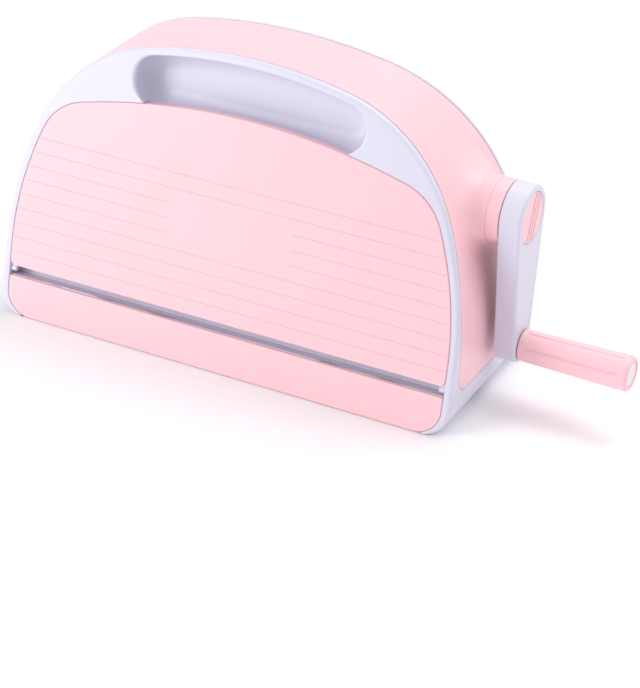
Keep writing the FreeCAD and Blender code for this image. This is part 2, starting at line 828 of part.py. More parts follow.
def tooth_edges(teeth, index, turn, start):
    """Draws one tooth and the root after it."""
    step = 2 * math.pi / teeth
    middle = turn + index * step
    pitch_radius = gear_module * teeth / 2
    base_radius = pitch_radius * math.cos(math.radians(pressure_angle))
    root = pitch_radius - gear_module * (1 + root_clearance)
    tip = pitch_radius + gear_module
    low = max(base_radius, root)
    radii = [low + (tip - low) * i / (flank_points - 1) for i in range(flank_points)]
    rising = [gear_point(r, middle - involute_half_angle(teeth, r), start) for r in radii]
    falling = [gear_point(r, middle + involute_half_angle(teeth, r), start) for r in reversed(radii)]
    foot_angle = involute_half_angle(teeth, low)
    foot_in = gear_point(root, middle - foot_angle, start)
    foot_out = gear_point(root, middle + foot_angle, start)
    next_foot = gear_point(root, middle + step - foot_angle, start)
    edges = [spline(rising), Part.makeLine(rising[-1], falling[0]),
             spline(falling), Part.makeLine(foot_out, next_foot)]
    if low > root:
        edges += [Part.makeLine(foot_in, rising[0]), Part.makeLine(falling[-1], foot_out)]
    return edges


def spline(points):
    """Draws a smooth curve through points."""
    curve = Part.BSplineCurve()
    curve.interpolate(points)
    return curve.toShape()


def gear(teeth, start, axis, bore, gap_up):
    """Makes a spur gear on an axis along X, with a gap or a tooth pointing straight up."""
    turn = math.pi / teeth if gap_up else 0.0
    edges = []
    for i in range(teeth):
        edges += tooth_edges(teeth, i, turn, start)
    blank = Part.Face(Part.Wire(Part.__sortEdges__(edges))).extrude(Vector(gear_width, 0, 0))
    blank.translate(Vector(0, 0, axis))
    return blank.cut(rod_x(bore, start, start + gear_width, axis))


def make_idler_pin():
    """Shouldered pin in the right side plate, with a head that keeps the idler on."""
    head_start = train_end + gear_side_gap
    shoulder = rod_x(idler_shoulder_radius, right_plate_outer, train_start - gear_side_gap, idler_axis)
    pin = rod_x(idler_pin_radius, right_plate_inner, head_start, idler_axis)
    head = rod_x(idler_head_radius, head_start, head_start + idler_head, idler_axis)
    return shoulder.fuse(pin).fuse(head).removeSplitter()


# Crank
def make_crank_shaft():
    """Shaft from the right side plate out through the boss, tapped for the crank screw."""
    shaft = rod_x(journal_radius, right_plate_inner - shaft_inner_end, shaft_end, crank_axis)
    return shaft.cut(rod_x(screw_radius + seat_gap, hub_end - screw_length, shaft_end, crank_axis))


def make_crank_boss_bush():
    """Sleeve in the boss of the shell."""
    start = boss_end - boss_bush_length
    sleeve = rod_x(boss_bush_radius - seat_gap, start, boss_end, crank_axis)
    return sleeve.cut(rod_x(journal_radius + running_gap, start, boss_end, crank_axis))


def arm_wire(inset, start):
    """Draws the arm on a plane square to the crank axis: large head, straight tapering sides, small end."""
    head = arm_head_radius - inset
    end = arm_end_radius - inset
    tilt = math.asin((head - end) / arm_length)
    head_centre = Vector(start, 0, crank_axis)
    end_centre = Vector(start, 0, grip_axis)
    lean = Vector(0, math.cos(tilt), -math.sin(tilt))
    other = Vector(0, -lean.y, lean.z)
    sides = [Part.makeLine(head_centre + lean * head, end_centre + lean * end),
             Part.makeLine(end_centre + other * end, head_centre + other * head)]
    crown = head_centre + Vector(0, 0, head)
    foot = end_centre - Vector(0, 0, end)
    head_arc = Part.Arc(head_centre + other * head, crown, head_centre + lean * head)
    end_arc = Part.Arc(end_centre + lean * end, foot, end_centre + other * end)
    return Part.Wire([head_arc.toShape(), sides[0], end_arc.toShape(), sides[1]])


def make_crank_arm():
    """White arm, hollow at the back, with a hub for the shaft, a boss for the grip, a seat for the cap."""
    arm = Part.Face(arm_wire(0, arm_inner)).extrude(Vector(arm_thickness, 0, 0))
    arm = arm.makeFillet(arm_round, edges_on_plane(arm, Vector(arm_outer, 0, 0), along_x))
    hollow = Part.Face(arm_wire(arm_wall, arm_inner)).extrude(Vector(arm_thickness - arm_face_wall, 0, 0))
    hollow = hollow.cut(rod_x(hub_radius, arm_inner, arm_outer, crank_axis))
    hollow = hollow.cut(rod_x(spindle_boss_radius, arm_inner, arm_outer, grip_axis))
    hollow = hollow.cut(box((arm_inner, -arm_rib / 2, grip_axis), (arm_outer, arm_rib / 2, crank_axis)))
    arm = arm.cut(hollow)
    cap_floor = arm_outer - cap_thickness - cap_recess
    arm = arm.cut(rod_x(cap_radius + cap_gap, cap_floor, arm_outer, crank_axis))
    arm = arm.cut(rod_x(screw_head_radius + cap_gap, hub_end, arm_outer, crank_axis))
    arm = arm.cut(rod_x(screw_radius + seat_gap, arm_inner, arm_outer, crank_axis))
    arm = arm.cut(rod_x(journal_radius + seat_gap, arm_inner, shaft_end, crank_axis))
    return arm.cut(rod_x(spindle_radius + seat_gap, arm_outer - spindle_grip_in, arm_outer, grip_axis))


def make_crank_cap():
    """Round cover let into the head of the arm, with parallel grooves."""
    outer = arm_outer - cap_recess
    cap = rod_x(cap_radius, outer - cap_thickness, outer, crank_axis)
    middle = (cap_groove_count - 1) / 2
    for i in range(cap_groove_count):
        y = cap_groove_shift + (i - middle) * cap_groove_pitch
        groove = box((outer - cap_groove_depth, y - cap_groove_width / 2, crank_axis - cap_radius),
                     (outer + 1, y + cap_groove_width / 2, crank_axis + cap_radius))
        groove.rotate(Vector(0, 0, crank_axis), along_x, -cap_groove_turn)
        cap = cap.cut(groove)
    return cap


def make_crank_screw():
    """Screw that holds the arm on the shaft."""
    head = rod_x(screw_head_radius, hub_end, hub_end + screw_head - seat_gap, crank_axis)
    return head.fuse(rod_x(screw_radius, hub_end - screw_length, hub_end, crank_axis))


def make_grip_spindle():
    """Pin that the grip spins on: seat in the arm, washer, shank and head."""
    pin = rod_x(spindle_radius, arm_outer - spindle_grip_in, spindle_head_start, grip_axis)
    washer = rod_x(spindle_washer_radius, arm_outer, arm_outer + spindle_washer, grip_axis)
    head = rod_x(spindle_head_radius, spindle_head_start, spindle_head_start + spindle_head, grip_axis)
    return pin.fuse(washer).fuse(head)


def make_grip():
    """Pink grip, thicker towards its round end, with shallow grooves along it."""
    profile = [Vector(grip_start, 0, 0), Vector(grip_start, 0, grip_root_radius),
               Vector(grip_end, 0, grip_end_radius), Vector(grip_end, 0, 0)]
    section = Part.Face(Part.makePolygon(profile + profile[:1]))
    grip = section.revolve(Vector(0, 0, 0), along_x, 360)
    grip = grip.makeFillet(grip_end_round, edges_on_plane(grip, Vector(grip_end, 0, 0), along_x))
    taper = math.degrees(math.atan((grip_end_radius - grip_root_radius) / grip_length))
    for i in range(grip_groove_count):
        floor = grip_root_radius - grip_groove_depth
        groove = box((grip_start + grip_groove_margin, -grip_groove_width / 2, floor),
                     (grip_end - grip_groove_margin, grip_groove_width / 2, grip_end_radius + 1))
        groove.rotate(Vector(grip_start, 0, grip_root_radius), along_y, -taper)
        groove.rotate(Vector(0, 0, 0), along_x, grip_groove_turn + i * 360 / grip_groove_count)
        grip = grip.cut(groove)
    grip = grip.cut(rod_x(spindle_radius + running_gap, grip_start, grip_end, 0))
    head_floor = spindle_head_start - spindle_head_gap
    head_space = rod_x(spindle_head_radius + spindle_head_gap, head_floor, grip_end, 0)
    cap_seat = rod_x(end_cap_radius + seat_gap, grip_end - end_cap_thickness - end_cap_recess, grip_end, 0)
    grip = grip.cut(head_space).cut(cap_seat)
    grip.translate(Vector(0, 0, grip_axis))
    return grip


def make_grip_end_cap():
    """Cream disc that closes the end of the grip."""
    outer = grip_end - end_cap_recess
    return rod_x(end_cap_radius, outer - end_cap_thickness, outer, grip_axis)


def build():
    """Makes every piece of the machine by name."""
    front_frame = make_front_frame()
    front_sill = make_front_sill()
    front_cup = make_front_handle_cup()
    front_cover = make_front_tray_cover()
    front_table = make_front_tray_table()
    front_pins = make_front_hinge_pins()
    front_platform = make_front_platform()
    mesh_bore = journal_radius + seat_gap
    return {
        "outer_shell": make_outer_shell(),
        "crank_collar": make_crank_collar(),
        "front_frame": front_frame,
        "rear_frame": on_back(front_frame),
        "front_sill": front_sill,
        "rear_sill": on_back(front_sill),
        "front_handle_cup": front_cup,
        "rear_handle_cup": on_back(front_cup),
        "front_tray_cover": front_cover,
        "rear_tray_cover": on_back(front_cover),
        "front_tray_table": front_table,
        "rear_tray_table": on_back(front_table),
        "front_hinge_pins": front_pins,
        "rear_hinge_pins": on_back(front_pins),
        "base_pan": make_base_pan(),
        "rubber_pads": make_rubber_pads(),
        "frame_screws": make_frame_screws(),
        "chassis_screws": make_chassis_screws(),
        "left_side_plate": make_left_side_plate(),
        "right_side_plate": make_right_side_plate(),
        "tie_rods": make_tie_rods(),
        "tie_rod_nuts": make_tie_rod_nuts(),
        "upper_roller": roller(upper_axis),
        "lower_roller": roller(lower_axis),
        "upper_roller_bushes": roller_bushes(upper_axis),
        "lower_roller_bushes": roller_bushes(lower_axis),
        "front_platform": front_platform,
        "rear_platform": on_back(front_platform),
        "crank_pinion": gear(pinion_teeth, train_start, crank_axis, mesh_bore, pinion_teeth % 2 == 1),
        "idler_gear": gear(idler_teeth, train_start, idler_axis, idler_pin_radius + running_gap, True),
        "idler_pin": make_idler_pin(),
        "roller_drive_gear": gear(drive_teeth, train_start, upper_axis, mesh_bore, idler_teeth % 2 == 1),
        "upper_mesh_gear": gear(mesh_teeth, mesh_start, upper_axis, mesh_bore, mesh_teeth % 2 == 1),
        "lower_mesh_gear": gear(mesh_teeth, mesh_start, lower_axis, mesh_bore, True),
        "crank_shaft": make_crank_shaft(),
        "crank_plate_bush": flanged_bush(right_plate_outer, 1, crank_axis),
        "crank_boss_bush": make_crank_boss_bush(),
        "crank_arm": make_crank_arm(),
        "crank_cap": make_crank_cap(),
        "crank_screw": make_crank_screw(),
        "grip_spindle": make_grip_spindle(),
        "grip": make_grip(),
        "grip_end_cap": make_grip_end_cap(),
    }


os.makedirs("parts", exist_ok=True)
for name, shape in build().items():
    shape.exportStep("parts/" + name + ".step")
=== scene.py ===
"""Dresses a hand-cranked die cutting machine in smooth moulded surfaces, finishes, light and a camera.

Sizes are in millimetres until a mesh is made. X runs to the crank side, Y from front to back, Z is up.
"""

import json
import logging
import math
from dataclasses import dataclass, field
from enum import Enum
from typing import Sequence

import bmesh
import bpy
import numpy as np
from mathutils import Matrix, Vector
from mathutils.geometry import tessellate_polygon
from numpy.typing import NDArray


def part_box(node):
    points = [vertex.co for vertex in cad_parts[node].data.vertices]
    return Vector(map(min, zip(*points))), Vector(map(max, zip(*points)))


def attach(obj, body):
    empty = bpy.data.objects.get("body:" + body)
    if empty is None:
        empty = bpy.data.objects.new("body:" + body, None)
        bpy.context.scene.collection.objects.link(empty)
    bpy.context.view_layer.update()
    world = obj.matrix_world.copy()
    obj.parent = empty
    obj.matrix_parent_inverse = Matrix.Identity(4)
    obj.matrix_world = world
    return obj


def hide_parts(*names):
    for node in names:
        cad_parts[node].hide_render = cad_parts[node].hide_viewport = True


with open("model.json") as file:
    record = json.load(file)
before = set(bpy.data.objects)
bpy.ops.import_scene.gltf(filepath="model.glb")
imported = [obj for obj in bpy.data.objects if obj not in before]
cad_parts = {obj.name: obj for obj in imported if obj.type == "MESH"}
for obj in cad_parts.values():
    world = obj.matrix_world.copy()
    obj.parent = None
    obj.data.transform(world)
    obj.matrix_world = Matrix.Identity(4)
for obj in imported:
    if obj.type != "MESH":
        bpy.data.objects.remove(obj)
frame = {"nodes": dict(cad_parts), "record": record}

Array = NDArray[np.float64]
Nodes = bpy.types.Nodes
Links = bpy.types.NodeLinks
Socket = bpy.types.NodeSocket
MM = 0.001  # a millimetre in metres
AXIS_RADIUS = 0.001  # keeps turned profiles off their axis, millimetres
QUARTER_TURN = math.pi / 2.0
MIRROR = np.array([-1.0, 1.0])  # across the second axis of an outline
MERGE_DISTANCE = 2.0e-6  # joins seams, metres
SLACK = 0.01  # room in a comparison of heights, millimetres
SHARP_ANGLE = math.radians(38.0)
LOG = logging.getLogger("die_cutting_machine")
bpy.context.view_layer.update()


class Side(Enum):
    """The two faces of the machine; the value multiplies Y."""

    FRONT = 1.0
    REAR = -1.0

    @property
    def prefix(self) -> str:
        """Gives the start of the node names on this side."""
        return "front" if self is Side.FRONT else "rear"


class Slot(Enum):
    """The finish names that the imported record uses."""

    PINK = "pink_plastic"
    WHITE = "white_plastic"
    CREAM = "cream_plastic"
    RUBBER = "rubber"
    BRONZE = "bush_bronze"
    STEEL = "steel"
    GEAR = "gear_steel"


# Finishes


@dataclass(frozen=True)
class Finish:
    """A moulded or machined surface: two close tints, a roughness range and a fine relief.

    Args:
        name: material name.
        tint: main colour, linear.
        shade: second colour, which slow noise mixes in.
        rough: lowest and highest roughness.
        metallic: 1 for metal.
        coat: weight of the clear gloss layer.
        relief: height of the fine relief in metres.
        grain: size of the fine relief in metres.
        stretch: how much longer the relief is along X than across it.
        subsurface: weight of the light that goes under the skin.
        coat_rough: roughness of the clear gloss layer.
        ior: refraction of the plastic.
        under_skin: how far red, green and blue light goes under the skin, metres.
        drift: waves of the slow noise to the metre.
    """

    name: str
    tint: tuple[float, float, float]
    shade: tuple[float, float, float]
    rough: tuple[float, float]
    metallic: float = 0.0
    coat: float = 0.0
    relief: float = 0.00002
    grain: float = 0.0016
    stretch: float = 1.0
    subsurface: float = 0.0
    coat_rough: float = 0.12
    ior: float = 1.46
    under_skin: tuple[float, float, float] = (0.008, 0.003, 0.003)
    drift: float = 14.0

    def material(self) -> bpy.types.Material:
        """Makes the material, or gives the one already made.

        Returns:
            A node material on Object coordinates.
        """
        found = bpy.data.materials.get(self.name)
        if found is not None:
            return found
        material = bpy.data.materials.new(self.name)
        material.use_nodes = True
        nodes = material.node_tree.nodes
        links = material.node_tree.links
        shader = nodes["Principled BSDF"]
        constants = {"Metallic": self.metallic, "Coat Weight": self.coat, "Coat Roughness": self.coat_rough,
                     "IOR": self.ior, "Subsurface Weight": self.subsurface, "Subsurface Radius": self.under_skin}
        for name, value in constants.items():
            shader.inputs[name].default_value = value
        coords = nodes.new("ShaderNodeTexCoord").outputs["Object"]
        drift = self._noise(nodes, links, coords, self.drift, detail=2.0)
        fine = self._noise(nodes, links, self._stretched(nodes, links, coords), 1.0 / self.grain, detail=3.0)
        colour = nodes.new("ShaderNodeMix")
        colour.data_type = "RGBA"
        colour.inputs["A"].default_value = (*self.tint, 1.0)
        colour.inputs["B"].default_value = (*self.shade, 1.0)
        links.new(drift, colour.inputs["Factor"])
        links.new(colour.outputs["Result"], shader.inputs["Base Color"])
        rough = nodes.new("ShaderNodeMapRange")
        rough.inputs["To Min"].default_value = self.rough[0]
        rough.inputs["To Max"].default_value = self.rough[1]
        links.new(fine, rough.inputs["Value"])
        links.new(rough.outputs["Result"], shader.inputs["Roughness"])
        bump = nodes.new("ShaderNodeBump")
        bump.inputs["Distance"].default_value = self.relief
        bump.inputs["Strength"].default_value = 1.0
        links.new(fine, bump.inputs["Height"])
        links.new(bump.outputs["Normal"], shader.inputs["Normal"])
        return material

    def _stretched(self, nodes: Nodes, links: Links, coords: Socket) -> Socket:
        """Stretches the coordinates along X, for drawn or turned metal.

        Args:
            nodes: the material's nodes.
            links: the material's links.
            coords: the coordinates to read.

        Returns:
            The stretched coordinates' socket.
        """
        mapping = nodes.new("ShaderNodeMapping")
        mapping.inputs["Scale"].default_value = (1.0 / self.stretch, 1.0, 1.0)
        links.new(coords, mapping.inputs["Vector"])
        return mapping.outputs["Vector"]

    @staticmethod
    def _noise(nodes: Nodes, links: Links, coords: Socket, scale: float, detail: float) -> Socket:
        """Adds a noise texture.

        Args:
            nodes: the material's nodes.
            links: the material's links.
            coords: the coordinates to read.
            scale: waves to the metre.
            detail: octaves.

        Returns:
            The noise value's socket.
        """
        noise = nodes.new("ShaderNodeTexNoise")
        noise.inputs["Scale"].default_value = scale
        noise.inputs["Detail"].default_value = detail
        links.new(coords, noise.inputs["Vector"])
        return noise.outputs["Fac"]


FINISHES: dict[Slot, Finish] = {
    Slot.PINK: Finish("pink_moulding", (0.965, 0.592, 0.634), (0.955, 0.574, 0.619), (0.34, 0.44), coat=0.08,
                      subsurface=0.12),
    Slot.WHITE: Finish("white_moulding", (0.70, 0.685, 0.795), (0.685, 0.67, 0.78), (0.34, 0.44), coat=0.08,
                       subsurface=0.04),
    Slot.CREAM: Finish("cream_moulding", (0.88, 0.83, 0.76), (0.85, 0.80, 0.73), (0.5, 0.62), relief=0.00004),
    Slot.RUBBER: Finish("pad_rubber", (0.035, 0.033, 0.036), (0.05, 0.048, 0.05), (0.75, 0.9), relief=0.00008),
    Slot.BRONZE: Finish("bush_bronze", (0.58, 0.40, 0.19), (0.50, 0.34, 0.16), (0.3, 0.42), metallic=1.0),
    Slot.STEEL: Finish("ground_steel", (0.58, 0.585, 0.60), (0.50, 0.505, 0.52), (0.24, 0.38), metallic=1.0,
                       stretch=12.0, grain=0.0008, relief=0.00001),
    Slot.GEAR: Finish("cut_steel", (0.42, 0.425, 0.44), (0.35, 0.355, 0.37), (0.32, 0.46), metallic=1.0,
                      grain=0.0012),
}
FLOOR_FINISH = Finish("pale_floor", (0.96, 0.955, 0.965), (0.95, 0.945, 0.955), (0.75, 0.85), relief=0.0)


# Outlines


@dataclass
class Outline:
    """Points along an edge, with the outward normal at each, on a plane.

    Args:
        points: n by 2.
        normals: n by 2, unit length.
    """

    points: Array
    normals: Array

    def inset(self, distance: float | Array) -> Array:
        """Moves the edge inwards: point minus distance times normal."""
        return self.points - np.reshape(distance, (-1, 1)) * self.normals

    def mirrored(self) -> "Outline":
        """Gives the mirror image on the other side of the second axis, walked the other way."""
        return Outline(self.points[::-1] * MIRROR, self.normals[::-1] * MIRROR)


def arc(centre: Sequence[float], radius: float, start: float, end: float, count: int) -> Outline:
    """Walks an arc: centre plus radius times (cos, sin) of the angle.

    Args:
        centre: middle of the circle.
        radius: radius.
        start: first angle, radians.
        end: last angle, radians.
        count: points.

    Returns:
        The arc, with normals away from the centre.
    """
    angle = np.linspace(start, end, count)
    normals = np.stack([np.cos(angle), np.sin(angle)], axis=1)
    return Outline(np.asarray(centre, float) + radius * normals, normals)


def line(start: Sequence[float], end: Sequence[float], steps: int | Array) -> Outline:
    """Walks a straight edge whose outside is on the right.

    Args:
        start: first point.
        end: last point.
        steps: points, or shares of the way from 0 to 1.

    Returns:
        The edge.
    """
    share = np.linspace(0.0, 1.0, steps) if isinstance(steps, int) else steps
    first, last = np.asarray(start, float), np.asarray(end, float)
    way = (last - first) / np.linalg.norm(last - first)
    points = first + share[:, None] * (last - first)
    return Outline(points, np.tile([way[1], -way[0]], (len(share), 1)))


def chain(pieces: Sequence[Outline]) -> Outline:
    """Joins edges that follow one another and drops the repeated points.

    Args:
        pieces: edges, each starting where the one before it ends.

    Returns:
        One edge.
    """
    points = [pieces[0].points] + [piece.points[1:] for piece in pieces[1:]]
    normals = [pieces[0].normals] + [piece.normals[1:] for piece in pieces[1:]]
    return Outline(np.concatenate(points), np.concatenate(normals))


@dataclass(frozen=True)
class Arch:
    """An arch of tangent arcs: upright sides, side arcs, shoulders and a crown.

    Args:
        half_width: half the width at the upright sides.
        straight_top: height where the side starts to curve.
        side_radius: radius of the side arc.
        shoulder_radius: radius of the shoulder.
        crown_radius: radius over the top.
        top: height of the crown.
    """

    half_width: float
    straight_top: float
    side_radius: float
    shoulder_radius: float
    crown_radius: float
    top: float

    def grown(self, distance: float) -> "Arch":
        """Gives the arch offset outwards: same centres, larger radii."""
        return Arch(self.half_width + distance, self.straight_top, self.side_radius + distance,
                    self.shoulder_radius + distance, self.crown_radius + distance, self.top + distance)

    @property
    def side_centre(self) -> Array:
        """Gives the centre of the side arc."""
        return np.array([self.half_width - self.side_radius, self.straight_top])

    @property
    def crown_centre(self) -> Array:
        """Gives the centre of the crown arc."""
        return np.array([0.0, self.top - self.crown_radius])

    @property
    def shoulder_centre(self) -> Array:
        """Gives the centre of the shoulder, where two circles about the other centres cross.

        Their radii are the side radius and the crown radius, each less the shoulder radius.

        Returns:
            The centre.
        """
        first, second = self.side_centre, self.crown_centre
        near = self.side_radius - self.shoulder_radius
        far = self.crown_radius - self.shoulder_radius
        span = second - first
        gap = np.linalg.norm(span)
        along = (near ** 2 - far ** 2 + gap ** 2) / (2.0 * gap)
        way = span / gap
        return first + way * along + np.array([-way[1], way[0]]) * math.sqrt(near ** 2 - along ** 2)

    @property
    def side_angle(self) -> float:
        """Gives the angle where the side arc meets the shoulder."""
        reach = self.shoulder_centre - self.side_centre
        return math.atan2(reach[1], reach[0])

    @property
    def side_top(self) -> float:
        """Gives the height where the side arc meets the shoulder."""
        return float(self.side_centre[1] + self.side_radius * math.sin(self.side_angle))

    @property
    def crown_angle(self) -> float:
        """Gives the angle where the shoulder meets the crown."""
        reach = self.shoulder_centre - self.crown_centre
        return math.atan2(reach[1], reach[0])

    def side_arc(self, count: int = 56) -> Outline:
        """Walks the side arc upwards."""
        return arc(self.side_centre, self.side_radius, 0.0, self.side_angle, count)

    def shoulder_arc(self, count: int = 40) -> Outline:
        """Walks the shoulder upwards."""
        return arc(self.shoulder_centre, self.shoulder_radius, self.side_angle, self.crown_angle, count)

    def crown_arc(self, end_x: float = 0.0, count: int = 48) -> Outline:
        """Walks the crown from the shoulder towards the middle."""
        end = math.acos(end_x / self.crown_radius)
        return arc(self.crown_centre, self.crown_radius, self.crown_angle, end, count)

    def crown_height(self, x: float | Array) -> Array:
        """Gives the height of the crown arc over x."""
        return self.crown_centre[1] + np.sqrt(self.crown_radius ** 2 - np.square(x))

    def width_at(self, height: Array) -> tuple[Array, Array]:
        """Gives the half width and the outward normal at heights on the side or the shoulder.

        Args:
            height: heights, below the crown.

        Returns:
            The half widths, and n by 2 normals.
        """
        side, shoulder = self.side_centre, self.shoulder_centre
        on_side = height <= self.side_top
        centre_x = np.where(on_side, side[0], shoulder[0])
        centre_z = np.where(on_side, side[1], shoulder[1])
        radius = np.where(on_side, self.side_radius, self.shoulder_radius)
        rise = np.where(height < self.straight_top, 0.0, height - centre_z)
        reach = np.sqrt(np.maximum(radius ** 2 - rise ** 2, 0.0))
        normals = np.stack([reach / radius, rise / radius], axis=-1)
        return centre_x + reach, normals


def quarter(radius: float, count: int = 6) -> tuple[Array, Array]:
    """Gives a rounded edge as inset r(1 - sin a) and depth r(1 - cos a), a from 0 to 90 degrees."""
    angle = np.linspace(0.0, QUARTER_TURN, count)
    return radius * (1.0 - np.sin(angle)), radius * (1.0 - np.cos(angle))


def smooth_step(value: Array) -> Array:
    """Eases from 0 to 1: 3t^2 - 2t^3."""
    share = np.clip(value, 0.0, 1.0)
    return share * share * (3.0 - 2.0 * share)


# Meshes


class MeshDraft:
    """Collects grids and flat faces in millimetres and makes them one mesh.

    Args:
        name: object name.
    """

    def __init__(self, name: str) -> None:
        """Starts an empty draft.

        Args:
            name: object name.
        """
        self.name = name
        self._points: list[Array] = []
        self._faces: list[list[int]] = []
        self._count = 0

    def _add_points(self, points: Array) -> int:
        """Stores points.

        Args:
            points: any number of rows and columns, by 3.

        Returns:
            The number of the first point.
        """
        start = self._count
        self._points.append(np.reshape(points, (-1, 3)))
        self._count += len(self._points[-1])
        return start

    def grid(self, points: Array, closed: bool = False, keep: Array | None = None) -> None:
        """Adds quads between the rows and columns of a grid.

        Args:
            points: rows by columns by 3.
            closed: True where the last column meets the first.
            keep: which quads to make, rows by columns.
        """
        rows, columns = points.shape[:2]
        index = self._add_points(points) + np.arange(rows * columns).reshape(rows, columns)
        if closed:
            index = np.concatenate([index, index[:, :1]], axis=1)
        quads = np.stack([index[:-1, :-1], index[:-1, 1:], index[1:, 1:], index[1:, :-1]], axis=-1)
        chosen = quads.reshape(-1, 4) if keep is None else quads[keep]
        self._faces += chosen.tolist()

    def flat(self, loop: Array) -> None:
        """Adds a flat face round a loop of points, cut into triangles.

        Args:
            loop: n by 3.
        """
        start = self._add_points(loop)
        corners = [[Vector(point) for point in loop]]
        self._faces += [[start + i for i in triangle] for triangle in tessellate_polygon(corners)]

    def band(self, rows: Sequence[Array], first: bool = True, last: bool = True) -> None:
        """Adds a closed band through loops of points, and flat faces that close its ends.

        Args:
            rows: loops with the same number of points.
            first: whether the first loop gets a face.
            last: whether the last loop gets a face.
        """
        self.grid(np.stack(rows), closed=True)
        for chosen, row in ((first, rows[0]), (last, rows[-1])):
            if chosen:
                self.flat(row)

    def make(self, facing: Sequence[float], side: Side = Side.FRONT, wall: float = 0.0) -> bpy.types.Object:
        """Makes the object at the origin: merges seams, turns faces outwards and smooths them.

        Args:
            facing: the way that most of an open surface looks, or of a closed one's first face.
            side: REAR mirrors the front's shape to the back.
            wall: thickness to add behind an open surface.

        Returns:
            The new object.
        """
        points = np.concatenate(self._points) * MM * np.array([1.0, side.value, 1.0])
        mesh = bpy.data.meshes.new(self.name)
        mesh.from_pydata(points, [], self._faces)
        work = bmesh.new()
        work.from_mesh(mesh)
        bmesh.ops.remove_doubles(work, verts=work.verts, dist=MERGE_DISTANCE)
        bmesh.ops.dissolve_degenerate(work, edges=work.edges, dist=MERGE_DISTANCE)
        bmesh.ops.recalc_face_normals(work, faces=work.faces)
        way = Vector(facing) * Vector((1.0, side.value, 1.0))
        shown = sum((f.normal * f.calc_area() for f in work.faces), Vector((0.0, 0.0, 0.0)))
        if any(edge.is_boundary for edge in work.edges) and shown.dot(way) < 0.0:
            bmesh.ops.reverse_faces(work, faces=work.faces)
        work.to_mesh(mesh)
        work.free()
        mesh.shade_smooth()
        mesh.set_sharp_from_angle(angle=SHARP_ANGLE)
        piece = bpy.data.objects.new(self.name, mesh)
        bpy.context.scene.collection.objects.link(piece)
        if wall > 0.0:
            solid = piece.modifiers.new("wall", "SOLIDIFY")
            solid.thickness = wall * MM
            solid.offset = -1.0
        weigh = piece.modifiers.new("flat_faces", "WEIGHTED_NORMAL")
        weigh.keep_sharp = True
        return piece


def place(piece: bpy.types.Object, body: str, slot: Slot, *nodes: str) -> bpy.types.Object:
    """Dresses a piece, lets it ride on a body and stand for CAD nodes.

    Args:
        piece: the new piece.
        body: the body that it moves with.
        slot: its finish.
        nodes: the CAD nodes that it replaces.

    Returns:
        The piece.
    """
    piece.data.materials.clear()
    piece.data.materials.append(FINISHES[slot].material())
    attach(piece, body)
    if nodes:
        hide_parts(*nodes)
    LOG.info("%s rides on %s in %s", piece.name, body, slot.value)
    return piece


def turned(profile: Array, height: float, count: int = 96) -> Array:
    """Turns a profile about an axis along X: (x, r sin a, height + r cos a).

    Args:
        profile: n by 2, x and radius.
        height: height of the axis.
        count: points round the axis.

    Returns:
        n by count by 3 points, closed round the columns.
    """
    angle = np.linspace(0.0, 2.0 * math.pi, count, endpoint=False)
    x = np.repeat(profile[:, :1], count, axis=1)
    return np.stack([x, profile[:, 1:] * np.sin(angle), height + profile[:, 1:] * np.cos(angle)], axis=-1)


def node_centre(node: str) -> Vector:
    """Gives the middle of a CAD node in millimetres."""
    low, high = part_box(node)
    return (low + high) * 0.5 / MM


# Shared form of the case


